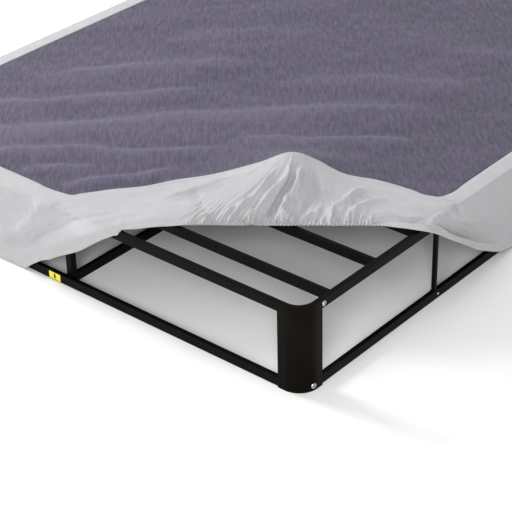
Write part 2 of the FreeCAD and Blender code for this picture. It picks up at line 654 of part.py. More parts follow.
def hem_mask(name, plane, points, depth):
    """Prism whose outline is a polygon of expression pairs, all of them positive."""
    body = new_body(name)
    sketch = new_sketch(body, "outline", plane)
    corners = [Vector(number(a), number(b)) for a, b in points]
    sides = [sketch.addGeometry(Part.LineSegment(corners[step], corners[(step + 1) % len(corners)]))
             for step in range(len(corners))]
    for step, side in enumerate(sides):
        relate(sketch, "Coincident", side, 2, sides[(step + 1) % len(sides)], 1)
        constrain(sketch, f"along_{step}", points[step][0], "DistanceX", -1, 1, side, 1)
        constrain(sketch, f"up_{step}", points[step][1], "DistanceY", -1, 1, side, 1)
    pad(body, sketch, depth)
    return body


side_box = f"({COVER_WIDTH}) / 2"
end_box = f"({COVER_LENGTH}) / 2"
left_mask = box("left_mask", SPLIT, COVER_LENGTH, "frame_height + 1", f"-({side_box})", f"-({end_box})", "0")
nodes["cover_left_skirt"] = common("cover_left_skirt", cover_band("left_band"), left_mask)
head_mask = box("head_mask", COVER_WIDTH, SPLIT, "frame_height + 1", f"-({side_box})",
                f"{end_box} - {SPLIT}", "0")
nodes["cover_head_skirt"] = common("cover_head_skirt", cover_band("head_band"), head_mask)

# The masks start 1 mm from their own origin, so every dimension in their sketches is positive.
TOP = "frame_height + 2"
foot_outline = [
    ("1", "1"),
    (f"1 + {side_box} + frame_width / 2 - foot_hem_low", "1"),
    (f"1 + {side_box} + frame_width / 2 - foot_hem_middle", "1 + foot_hem_middle_height"),
    (f"1 + {side_box} + frame_width / 2 - foot_hem_top", TOP),
    ("1", TOP),
]
foot_mask = hem_mask("foot_mask", "XZ_Plane", foot_outline, f"2 * ({SPLIT})")
place(foot_mask, f"-({side_box}) - 1", f"-({end_box})", "-1")
nodes["cover_foot_skirt"] = common("cover_foot_skirt", cover_band("foot_band"), foot_mask)
side_outline = [
    (f"1 + ({COVER_OUT}) + side_hem_low", "1"),
    (f"1 + {COVER_LENGTH}", "1"),
    (f"1 + {COVER_LENGTH}", TOP),
    (f"1 + ({COVER_OUT}) + side_hem_top", TOP),
    (f"1 + ({COVER_OUT}) + side_hem_middle", "1 + side_hem_middle_height"),
]
side_mask = hem_mask("side_mask", "YZ_Plane", side_outline, f"2 * ({SPLIT})")
place(side_mask, side_box, f"-({end_box}) - 1", "-1")
nodes["cover_right_skirt"] = common("cover_right_skirt", cover_band("right_band"), side_mask)


def from_corner(inward_x, inward_y, rise="0"):
    """Point on the underside of the cover, measured in from the foot right corner of the rails."""
    return Vector(number(f"frame_width / 2 - ({inward_x})"), number(f"({inward_y}) - frame_length / 2"),
                  number(f"frame_height + cover_top_gap + ({rise})"))


def folded_cloth(triangles):
    """Cloth over flat triangles, each raised by the thickness of the cloth and joined."""
    thick = Vector(0, 0, number("cover_cloth"))
    prisms = [Part.Face(Part.makePolygon([*triangle, triangle[0]])).extrude(thick) for triangle in triangles]
    return prisms[0].multiFuse(prisms[1:]).removeSplitter()


out = COVER_OUT
foot_edge = from_corner("foot_fold_start", f"-({out})")
side_edge = from_corner(f"-({out})", "side_fold_start")
peak = from_corner("peak_inset_x", "peak_inset_y", "peak_rise")
back = from_corner("tent_back_x", "tent_back_y")
hem_foot = from_corner("foot_hem_top", f"-({out})")
hem_side = from_corner(f"-({out})", "side_hem_top")
gather_foot = from_corner("gather_foot_x", "gather_foot_y")
gather_side = from_corner("gather_side_x", "gather_side_y")


def top_panel_shape():
    """Flat panel with three round corners, its fourth corner raised to the peak of the fold."""
    half_x, half_y, curve = number(side_box), number(end_box), number(COVER_ROUND)
    level = foot_edge.z
    diagonal = curve * math.cos(math.pi / 4)

    def corner(sign_x, sign_y):
        centre_x, centre_y = sign_x * (half_x - curve), sign_y * (half_y - curve)
        along_x = Vector(centre_x, sign_y * half_y, level)
        along_y = Vector(sign_x * half_x, centre_y, level)
        middle = Vector(centre_x + sign_x * diagonal, centre_y + sign_y * diagonal, level)
        return along_x, middle, along_y

    head_right, head_left, foot_left = corner(1, 1), corner(-1, 1), corner(-1, -1)
    edges = [
        Part.makeLine(foot_edge, back),
        Part.makeLine(back, side_edge),
        Part.makeLine(side_edge, head_right[2]),
        Part.Arc(*reversed(head_right)).toShape(),
        Part.makeLine(head_right[0], head_left[0]),
        Part.Arc(*head_left).toShape(),
        Part.makeLine(head_left[2], foot_left[2]),
        Part.Arc(*reversed(foot_left)).toShape(),
        Part.makeLine(foot_left[0], foot_edge),
    ]
    flat = Part.Face(Part.Wire(edges)).extrude(Vector(0, 0, number("cover_cloth")))
    raised = folded_cloth([(foot_edge, peak, back), (back, peak, side_edge)])
    return flat.fuse(raised).removeSplitter()


def cloth_node(label, shape):
    item = doc.addObject("Part::Feature", label)
    item.Shape = shape
    item.Label = label
    nodes[label] = item


cloth_node("cover_top_panel", top_panel_shape())
cloth_node("cover_turned_corner", folded_cloth([
    (foot_edge, hem_foot, gather_foot),
    (foot_edge, gather_foot, peak),
    (gather_foot, gather_side, peak),
    (peak, gather_side, side_edge),
    (gather_side, hem_side, side_edge),
]))

gather = gather_side - gather_foot
turned_elastic = doc.addObject("Part::Box", "turned_corner_elastic")
turned_elastic.Length = gather.Length
turned_elastic.setExpression("Width", bound("elastic_width"))
turned_elastic.setExpression("Height", bound("elastic_thickness"))
heading = Rotation(Vector(1, 0, 0), gather)
outward = heading.multVec(Vector(0, -1, 0)) * number("elastic_width")
turned_elastic.Placement = Placement(gather_foot + outward, heading)
turned_elastic.Label = "turned_corner_elastic"
nodes["turned_corner_elastic"] = turned_elastic

elastic_ring = straight_tube("elastic_ring", "z", "elastic_width",
                             f"frame_width + 2 * ({SIDE_GAP} - elastic_gap)",
                             f"frame_length + 2 * ({SIDE_GAP} - elastic_gap)",
                             z="skirt_lift + 2 + elastic_width / 2",
                             radius=f"bend_radius + {SIDE_GAP} - elastic_gap", wall="elastic_thickness")
elastics = []
for corner, x, y in (("foot_left", f"-({side_box})", f"-({end_box})"),
                     ("head_left", f"-({side_box})", f"{end_box} - elastic_reach"),
                     ("head_right", f"{side_box} - elastic_reach", f"{end_box} - elastic_reach")):
    mask = box(f"{corner}_elastic_mask", "elastic_reach", "elastic_reach", "frame_height", x, y, "0")
    elastics.append(common(f"{corner}_elastic", elastic_ring, mask))
nodes["fitted_corner_elastics"] = combined(elastics, "fitted_corner_elastics")

# ---------------------------------------------------------------- checks and export
doc.recompute()
faults = [f"{item.Label}: {item.State}" for item in doc.Objects
          if "Invalid" in item.State or "Error" in item.State]
for name, item in nodes.items():
    shape = item.Shape
    if item.Label != name:
        faults.append(f"{name}: labelled {item.Label}")
    if shape.isNull() or not shape.isValid() or not shape.Solids:
        faults.append(f"{name}: shape is null, not valid or has no solid")
if faults:
    raise SystemExit("\n".join(faults))

os.makedirs("parts", exist_ok=True)
for name, item in nodes.items():
    item.Shape.exportStep(os.path.join("parts", f"{name}.step"))
print(f"{len(nodes)} nodes, {sum(len(item.Shape.Solids) for item in nodes.values())} solids")
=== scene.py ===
"""Looks of a metal bed foundation: coated steel frame, fasteners, fabric cover, studio and camera.

Every length is in metres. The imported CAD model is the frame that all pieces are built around:
+Z is up, +Y runs from the foot end to the head end, and the origin is on the floor under the middle.
The cover is fitted on three corners and turned back over the slats at the foot right corner.
"""

import json
import logging
import math
from dataclasses import dataclass, field
from enum import Enum

import bmesh
import bpy
import numpy as np
from mathutils import Matrix, Vector
from mathutils.geometry import delaunay_2d_cdt

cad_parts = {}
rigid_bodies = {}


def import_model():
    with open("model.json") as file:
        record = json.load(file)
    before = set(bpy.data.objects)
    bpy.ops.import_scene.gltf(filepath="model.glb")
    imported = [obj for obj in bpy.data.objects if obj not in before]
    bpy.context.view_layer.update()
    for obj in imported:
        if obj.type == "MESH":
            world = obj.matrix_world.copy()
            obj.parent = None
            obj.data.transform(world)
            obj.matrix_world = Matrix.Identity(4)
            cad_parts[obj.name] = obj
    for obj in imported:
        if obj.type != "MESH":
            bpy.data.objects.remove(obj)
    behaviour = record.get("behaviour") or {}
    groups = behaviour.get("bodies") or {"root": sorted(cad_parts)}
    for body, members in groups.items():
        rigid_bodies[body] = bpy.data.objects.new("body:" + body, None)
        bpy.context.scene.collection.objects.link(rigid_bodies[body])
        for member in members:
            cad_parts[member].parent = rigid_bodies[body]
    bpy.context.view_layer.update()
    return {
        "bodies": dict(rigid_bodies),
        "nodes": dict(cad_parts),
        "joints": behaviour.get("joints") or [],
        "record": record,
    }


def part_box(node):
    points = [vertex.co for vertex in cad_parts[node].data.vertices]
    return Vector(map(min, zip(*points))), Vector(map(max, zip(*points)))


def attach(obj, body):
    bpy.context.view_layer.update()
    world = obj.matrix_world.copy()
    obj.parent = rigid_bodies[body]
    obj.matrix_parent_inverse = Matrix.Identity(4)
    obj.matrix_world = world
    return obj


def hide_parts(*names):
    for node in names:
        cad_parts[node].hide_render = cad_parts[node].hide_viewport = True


LOG = logging.getLogger("bed_foundation")
MM = 0.001
Point = tuple[float, float, float]
RIB_TURN = math.radians(41.0)
# Mesh attribute that marks the wrinkle crests of the grey cloth, where its colour carries a painted highlight.
CREST = "crest"


# ---------------------------------------------------------------- small tools
def smoothstep(low: float, high: float, value: np.ndarray) -> np.ndarray:
    """Soft ramp from 0 at low to 1 at high.

    Args:
        low: where the ramp starts.
        high: where the ramp ends; it may be below low.
        value: places to read the ramp at.

    Returns:
        The ramp at each place.
    """
    share = np.clip((np.asarray(value, float) - low) / (high - low), 0.0, 1.0)
    return share * share * (3.0 - 2.0 * share)


def smooth_through(knots: np.ndarray, values: np.ndarray, places: np.ndarray) -> np.ndarray:
    """Smooth curve through values, with tangents taken from the neighbours.

    Args:
        knots: rising parameters of the values, shape (n,).
        values: one row per knot, shape (n, k).
        places: parameters to read the curve at, shape (m,).

    Returns:
        The curve at the places, shape (m, k).
    """
    knots, values = np.asarray(knots, float), np.asarray(values, float)
    steps = np.diff(knots)[:, None]
    slopes = np.diff(values, axis=0) / steps
    inner = (slopes[:-1] * steps[1:] + slopes[1:] * steps[:-1]) / (steps[:-1] + steps[1:])
    tangents = np.vstack([slopes[:1], inner, slopes[-1:]])
    places = np.clip(places, knots[0], knots[-1])
    left = np.clip(np.searchsorted(knots, places, side="right") - 1, 0, len(knots) - 2)
    span = steps[left]
    share = (places - knots[left])[:, None] / span
    square, cube = share**2, share**3
    return ((2 * cube - 3 * square + 1) * values[left] + (cube - 2 * square + share) * span * tangents[left]
            + (3 * square - 2 * cube) * values[left + 1] + (cube - square) * span * tangents[left + 1])


def value_noise(places: np.ndarray, seed: int) -> np.ndarray:
    """Smooth seeded noise from -1 to 1 over a plane.

    Args:
        places: points in cells, shape (n, 2).
        seed: seed of the noise table.

    Returns:
        One value per point.
    """
    table = np.random.default_rng(seed).uniform(-1.0, 1.0, (64, 64))
    cell = np.floor(places).astype(int)
    part = places - cell
    part = part * part * (3.0 - 2.0 * part)
    total = np.zeros(len(places))
    for step_x in (0, 1):
        for step_y in (0, 1):
            weight_x = part[:, 0] if step_x else 1.0 - part[:, 0]
            weight_y = part[:, 1] if step_y else 1.0 - part[:, 1]
            total += weight_x * weight_y * table[(cell[:, 0] + step_x) % 64, (cell[:, 1] + step_y) % 64]
    return total


def mesh_object(name: str, points: np.ndarray, faces: list[tuple[int, ...]],
                flat: np.ndarray | None = None) -> bpy.types.Object:
    """New mesh object at the origin.

    Args:
        name: name of the piece.
        points: vertices in the row frame, shape (n, 3).
        faces: vertex numbers of each face.
        flat: place of each vertex on the flat cloth, which becomes the UV map "Cloth".

    Returns:
        The object, linked to the scene.
    """
    mesh = bpy.data.meshes.new(name)
    mesh.from_pydata([tuple(point) for point in points], [], faces)
    if flat is not None:
        layer = mesh.uv_layers.new(name="Cloth")
        corners = np.zeros(len(mesh.loops), dtype=int)
        mesh.loops.foreach_get("vertex_index", corners)
        layer.data.foreach_set("uv", np.asarray(flat, float)[corners].astype(np.float32).ravel())
    mesh.polygons.foreach_set("use_smooth", np.ones(len(mesh.polygons), dtype=bool))
    mesh.update()
    made = bpy.data.objects.new(name, mesh)
    bpy.context.scene.collection.objects.link(made)
    return made


def grid_faces(columns: int, rows: int) -> list[tuple[int, ...]]:
    """Quads of a grid stored column by column, facing away from the bed.

    Args:
        columns: number of columns along the cloth.
        rows: number of rows from the seam to the hem.

    Returns:
        Vertex numbers of each quad.
    """
    return [(column * rows + row, column * rows + row + 1, (column + 1) * rows + row + 1,
             (column + 1) * rows + row)
            for column in range(columns - 1) for row in range(rows - 1)]


def select_only(item: bpy.types.Object) -> None:
    """Make one object the only selected and active one."""
    bpy.ops.object.select_all(action="DESELECT")
    item.select_set(True)
    bpy.context.view_layer.objects.active = item


def apply_modifiers(item: bpy.types.Object) -> None:
    """Apply every modifier of an object in order."""
    select_only(item)
    for modifier in list(item.modifiers):
        bpy.ops.object.modifier_apply(modifier=modifier.name)


def settle(item: bpy.types.Object) -> bpy.types.Object:
    """Apply an object's place, turn and size, so that its place is in its mesh."""
    select_only(item)
    bpy.ops.object.transform_apply(location=True, rotation=True, scale=True)
    return item


def join(name: str, items: list[bpy.types.Object]) -> bpy.types.Object:
    """Join objects into one piece with its own mesh.

    Args:
        name: name of the joined piece.
        items: the objects, which are used up.

    Returns:
        The joined object.
    """
    bpy.ops.object.select_all(action="DESELECT")
    for item in items:
        item.select_set(True)
    bpy.context.view_layer.objects.active = items[0]
    bpy.ops.object.join()
    made = bpy.context.view_layer.objects.active
    made.name = made.data.name = name
    return settle(made)


# ---------------------------------------------------------------- finishes
class Slot(Enum):
    """Material slots of the record."""

    POWDER_COAT = "black_powder_coat"
    GUARD_COAT = "black_guard_coat"
    ZINC = "zinc_plated_steel"
    RIVET = "rivet_aluminium"
    STICKER = "yellow_sticker"
    TOP_CLOTH = "grey_top_cloth"
    SKIRT_CLOTH = "white_skirt_cloth"
    ELASTIC = "white_elastic"


class NodeBuilder:
    """Short hand for building a material's node tree."""

    def __init__(self, name: str) -> None:
        """Start a material whose shader is one Principled BSDF."""
        self.material = bpy.data.materials.new(name)
        self.material.use_nodes = True
        self.tree = self.material.node_tree
        self.shader = self.tree.nodes["Principled BSDF"]
        self.coordinates = self.tree.nodes.new("ShaderNodeTexCoord")

    def add(self, kind: str, **values: object) -> bpy.types.Node:
        """Add a node and set its properties or its input sockets by name.

        Args:
            kind: node type.
            values: property names, or socket names with spaces written as underscores.

        Returns:
            The node.
        """
        node = self.tree.nodes.new(kind)
        for key, value in values.items():
            if hasattr(node, key):
                setattr(node, key, value)
            else:
                node.inputs[key.replace("_", " ")].default_value = value
        return node

    def link(self, source: bpy.types.NodeSocket, target: bpy.types.NodeSocket) -> None:
        """Join an output socket to an input socket."""
        self.tree.links.new(source, target)

    def set(self, **values: object) -> None:
        """Set constant sockets of the shader, with spaces written as underscores."""
        for key, value in values.items():
            self.shader.inputs[key.replace("_", " ")].default_value = value

    def placed(self, source: str = "Object", turn: float = 0.0, stretch: Point = (1.0, 1.0, 1.0)
               ) -> bpy.types.NodeSocket:
        """Coordinates for a pattern that is turned about the vertical axis and stretched.

        Args:
            source: Object or UV.
            turn: turn about Z in radians.
            stretch: how far the pattern is drawn out along each of its own axes.

        Returns:
            The coordinate socket.
        """
        mapping = self.add("ShaderNodeMapping", vector_type="TEXTURE")
        mapping.inputs["Rotation"].default_value = (0.0, 0.0, turn)
        mapping.inputs["Scale"].default_value = stretch
        self.link(self.coordinates.outputs[source], mapping.inputs["Vector"])
        return mapping.outputs["Vector"]

    def noise(self, vector: bpy.types.NodeSocket, scale: float, detail: float = 3.0, roughness: float = 0.5
              ) -> bpy.types.NodeSocket:
        """Value of a noise texture."""
        node = self.add("ShaderNodeTexNoise", Scale=scale, Detail=detail, Roughness=roughness)
        self.link(vector, node.inputs["Vector"])
        return node.outputs["Fac"]

    def bands(self, vector: bpy.types.NodeSocket, pitch: float, distortion: float = 0.0
              ) -> bpy.types.NodeSocket:
        """Value of a sine wave along X with a pitch in metres."""
        node = self.add("ShaderNodeTexWave", Scale=math.pi / 10.0 / pitch, Distortion=distortion, Detail=1.0)
        node.inputs["Detail Scale"].default_value = 2.0
        self.link(vector, node.inputs["Vector"])
        return node.outputs["Fac"]

    def ramp(self, value: bpy.types.NodeSocket, low: float, high: float, first: object, last: object
             ) -> bpy.types.NodeSocket:
        """Map a value range to two numbers or two colours.

        Args:
            value: the value to map.
            low: value that gives first.
            high: value that gives last.
            first: a number or a colour.
            last: a number or a colour.

        Returns:
            The mapped socket.
        """
        if isinstance(first, (int, float)):
            node = self.add("ShaderNodeMapRange")
            for key, number in (("From Min", low), ("From Max", high), ("To Min", first), ("To Max", last)):
                node.inputs[key].default_value = number
            self.link(value, node.inputs["Value"])
            return node.outputs["Result"]
        node = self.add("ShaderNodeValToRGB")
        node.color_ramp.elements[0].position = low
        node.color_ramp.elements[0].color = (*first, 1.0)
        node.color_ramp.elements[1].position = high
        node.color_ramp.elements[1].color = (*last, 1.0)
        self.link(value, node.inputs["Fac"])
        return node.outputs["Color"]

    def bump(self, height: bpy.types.NodeSocket, distance: float, strength: float = 1.0) -> None:
        """Add a bump over whatever bump the shader has already."""
        node = self.add("ShaderNodeBump", Strength=strength, Distance=distance)
        self.link(height, node.inputs["Height"])
        normal = self.shader.inputs["Normal"]
        if normal.is_linked:
            self.link(normal.links[0].from_socket, node.inputs["Normal"])
        self.link(node.outputs["Normal"], normal)


@dataclass(frozen=True)
class PowderCoat:
    """Satin powder coat with fine orange peel and a little dust."""

    name: str
    dark: Point
    light: Point
    roughness: float
    peel_scale: float = 900.0
    peel_depth: float = 0.04 * MM

    def build(self) -> bpy.types.Material:
        """Make the material."""
        made = NodeBuilder(self.name)
        place = made.placed()
        cloud = made.noise(place, 14.0, 4.0)
        made.link(made.ramp(cloud, 0.35, 0.7, self.dark, self.light), made.shader.inputs["Base Color"])
        speck = made.noise(place, 260.0, 2.0)
        made.link(made.ramp(speck, 0.3, 0.7, self.roughness - 0.05, self.roughness + 0.07),
                  made.shader.inputs["Roughness"])
        made.set(Specular_IOR_Level=0.05)
        made.bump(made.noise(place, self.peel_scale, 1.5), self.peel_depth)
        return made.material


@dataclass(frozen=True)
class PlatedSteel:
    """Bright plated metal with faint brushing and tarnish."""

    name: str
    colour: Point
    tarnish: Point
    roughness: float

    def build(self) -> bpy.types.Material:
        """Make the material."""
        made = NodeBuilder(self.name)
        place = made.placed()
        cloud = made.noise(place, 350.0, 3.0)
        made.link(made.ramp(cloud, 0.4, 0.75, self.colour, self.tarnish), made.shader.inputs["Base Color"])
        streaks = made.noise(made.placed(stretch=(1.0, 1.0, 0.08)), 500.0, 2.0)
        made.link(made.ramp(streaks, 0.3, 0.7, self.roughness - 0.06, self.roughness + 0.1),
                  made.shader.inputs["Roughness"])
        made.set(Metallic=1.0)
        made.bump(streaks, 0.02 * MM)
        return made.material


@dataclass(frozen=True)
class Vinyl:
    """Printed vinyl with a soft sheen and small scuffs."""

    name: str
    colour: Point
    scuffed: Point

    def build(self) -> bpy.types.Material:
        """Make the material."""
        made = NodeBuilder(self.name)
        place = made.placed()
        made.link(made.ramp(made.noise(place, 420.0, 4.0, 0.7), 0.55, 0.8, self.colour, self.scuffed),
                  made.shader.inputs["Base Color"])
        made.set(Roughness=0.38)
        made.bump(made.noise(place, 160.0, 2.0), 0.05 * MM)
        return made.material


@dataclass(frozen=True)
class RibbedCloth:
    """Grey purple cloth with a fine diagonal rib, a painted highlight that lightens the wrinkle crests, and small
    crinkles.
    """

    name: str = "grey_ribbed_cloth"
    dark: Point = (0.034, 0.029, 0.050)
    light: Point = (0.105, 0.093, 0.140)
    crest_highlight: float = 0.22
    rib_pitch: float = 5.0 * MM
    thread_pitch: float = 1.1 * MM

    def build(self) -> bpy.types.Material:
        """Make the material."""
        made = NodeBuilder(self.name)
        plain = made.placed("UV")
        rib = made.bands(made.placed("UV", turn=RIB_TURN), self.rib_pitch, 0.6)
        thread = made.bands(made.placed("UV", turn=RIB_TURN - math.pi / 2), self.thread_pitch, 0.4)
        streaks = made.noise(made.placed("UV", turn=RIB_TURN, stretch=(1.0, 5.0, 1.0)), 110.0, 5.0, 0.65)
        cloud = made.noise(made.placed("UV", turn=RIB_TURN, stretch=(3.5, 1.0, 1.0)), 16.0, 5.0, 0.62)
        tone = made.add("ShaderNodeMath", operation="MULTIPLY_ADD")
        tone.inputs[1].default_value = 0.16
        made.link(rib, tone.inputs[0])
        made.link(streaks, tone.inputs[2])
        blend = made.add("ShaderNodeMath", operation="MULTIPLY_ADD")
        blend.inputs[1].default_value = 0.35
        made.link(cloud, blend.inputs[0])
        made.link(tone.outputs[0], blend.inputs[2])
        # Painted highlight: the colour is pushed towards the light end on the wrinkle crests, read from the crest
        # attribute.
        crest = made.add("ShaderNodeAttribute", attribute_name=CREST)
        crest_lit = made.add("ShaderNodeMath", operation="MULTIPLY_ADD")
        crest_lit.inputs[1].default_value = self.crest_highlight
        made.link(crest.outputs["Fac"], crest_lit.inputs[0])
        made.link(blend.outputs[0], crest_lit.inputs[2])
        made.link(made.ramp(crest_lit.outputs[0], 0.52, 1.05, self.dark, self.light),
                  made.shader.inputs["Base Color"])
        made.set(Roughness=0.78, Specular_IOR_Level=0.3, Sheen_Weight=0.12, Sheen_Roughness=0.4,
                 Sheen_Tint=(0.86, 0.82, 1.0, 1.0))
        made.bump(made.noise(plain, 55.0, 5.0, 0.6), 1.6 * MM, 0.7)
        made.bump(rib, 0.35 * MM, 0.8)
        made.bump(thread, 0.12 * MM, 0.6)
        return made.material


@dataclass(frozen=True)
class KnitCloth:
    """White knitted cloth with a fine stitch and soft mottling."""

    name: str
    colour: Point
    shade: Point
    course_pitch: float = 1.3 * MM
    ply: float = 0.16 * MM

    def build(self) -> bpy.types.Material:
        """Make the material."""
        made = NodeBuilder(self.name)
        plain = made.placed("UV")
        wales = made.bands(plain, self.course_pitch, 0.5)
        courses = made.bands(made.placed("UV", turn=math.radians(90.0)), self.course_pitch, 0.5)
        weave = made.add("ShaderNodeMath", operation="MULTIPLY")
        made.link(wales, weave.inputs[0])
        made.link(courses, weave.inputs[1])
        cloud = made.noise(plain, 26.0, 5.0, 0.62)
        made.link(made.ramp(cloud, 0.35, 0.68, self.shade, self.colour), made.shader.inputs["Base Color"])
        made.set(Roughness=0.86, Specular_IOR_Level=0.25, Sheen_Weight=0.25, Sheen_Roughness=0.5)
        made.bump(made.noise(plain, 38.0, 4.0, 0.55), 1.1 * MM, 0.6)
        made.bump(weave.outputs[0], self.ply, 0.7)
        return made.material


@dataclass(frozen=True)
class Ground:
    """Pale matt studio floor."""

    name: str = "studio_floor"
    colour: Point = (0.86, 0.86, 0.86)

    def build(self) -> bpy.types.Material:
        """Make the material."""
        made = NodeBuilder(self.name)
        made.set(Base_Color=(*self.colour, 1.0), Roughness=0.9, Specular_IOR_Level=0.1)
        return made.material


FINISHES = {
    Slot.POWDER_COAT: PowderCoat("satin_powder_coat", (0.0016, 0.0016, 0.0012), (0.0034, 0.0033, 0.0026), 0.40),
    Slot.GUARD_COAT: PowderCoat("guard_powder_coat", (0.0020, 0.0012, 0.0005), (0.0036, 0.0024, 0.0011), 0.36),
    Slot.ZINC: PlatedSteel("bright_zinc", (0.58, 0.58, 0.56), (0.40, 0.40, 0.37), 0.24),
    Slot.RIVET: PlatedSteel("rivet_metal", (0.75, 0.75, 0.75), (0.55, 0.55, 0.55), 0.3),
    Slot.STICKER: Vinyl("yellow_vinyl", (0.78, 0.70, 0.03), (0.62, 0.56, 0.10)),
    Slot.TOP_CLOTH: RibbedCloth(),
    Slot.SKIRT_CLOTH: KnitCloth("white_jersey", (0.405, 0.405, 0.417), (0.372, 0.372, 0.384)),
    Slot.ELASTIC: KnitCloth("woven_elastic", (0.48, 0.48, 0.47), (0.40, 0.40, 0.39), 2.0 * MM, 0.4 * MM),
}


@dataclass
class Finisher:
    """Gives pieces and CAD nodes the finish of their record slot."""

    materials: dict[Slot, bpy.types.Material] = field(default_factory=dict)

    def material(self, slot: Slot) -> bpy.types.Material:
        """The slot's material, made at its first use."""
        if slot not in self.materials:
            self.materials[slot] = FINISHES[slot].build()
        return self.materials[slot]

    def dress(self, piece: bpy.types.Object, slot: Slot, body: str) -> bpy.types.Object:
        """Give a new piece the material of its record slot, and its body.

        Args:
            piece: the new piece.
            slot: the record slot.
            body: the CAD body that it moves with.

        Returns:
            The piece.
        """
        piece.data.materials.clear()
        piece.data.materials.append(self.material(slot))
        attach(piece, body)
        LOG.info("%s: %d faces", piece.name, len(piece.data.polygons))
        return piece

    def dress_nodes(self, frame: dict) -> None:
        """Give every CAD node the finish that the record names for it."""
        for part in frame["record"]["subparts"]:
            slot = Slot(part["material_slot"])
            node = frame["nodes"][part["node"]]
            for number in range(max(1, len(node.material_slots))):
                if node.material_slots:
                    node.material_slots[number].material = self.material(slot)
                else:
                    node.data.materials.append(self.material(slot))


# ---------------------------------------------------------------- the bed's measures
@dataclass(frozen=True)
class Bed:
    """Measures of the steel frame and of the fitted cover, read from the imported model."""

    half_width: float
    half_length: float
    height: float
    cover_half_width: float
    cover_half_length: float
    cover_top: float
    cloth: float = 2.0 * MM

    @classmethod
    def read(cls) -> "Bed":
        """Read the measures from the boxes of the CAD nodes."""
        rail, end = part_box("foot_right_upper_rail"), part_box("foot_upper_end_tube")
        return cls(half_width=rail[1].x, half_length=-end[0].y, height=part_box("slat_01")[1].z,
                   cover_half_width=-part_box("cover_left_skirt")[0].x,
                   cover_half_length=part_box("cover_head_skirt")[1].y,
                   cover_top=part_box("cover_foot_skirt")[1].z + cls.cloth)

    def inward(self, points: np.ndarray) -> np.ndarray:
        """Turn points measured in from the foot right corner, in mm, into the row frame."""
        points = np.asarray(points, float) * MM
        return np.stack([self.half_width - points[..., 0], points[..., 1] - self.half_length,
                         points[..., 2]], axis=-1)


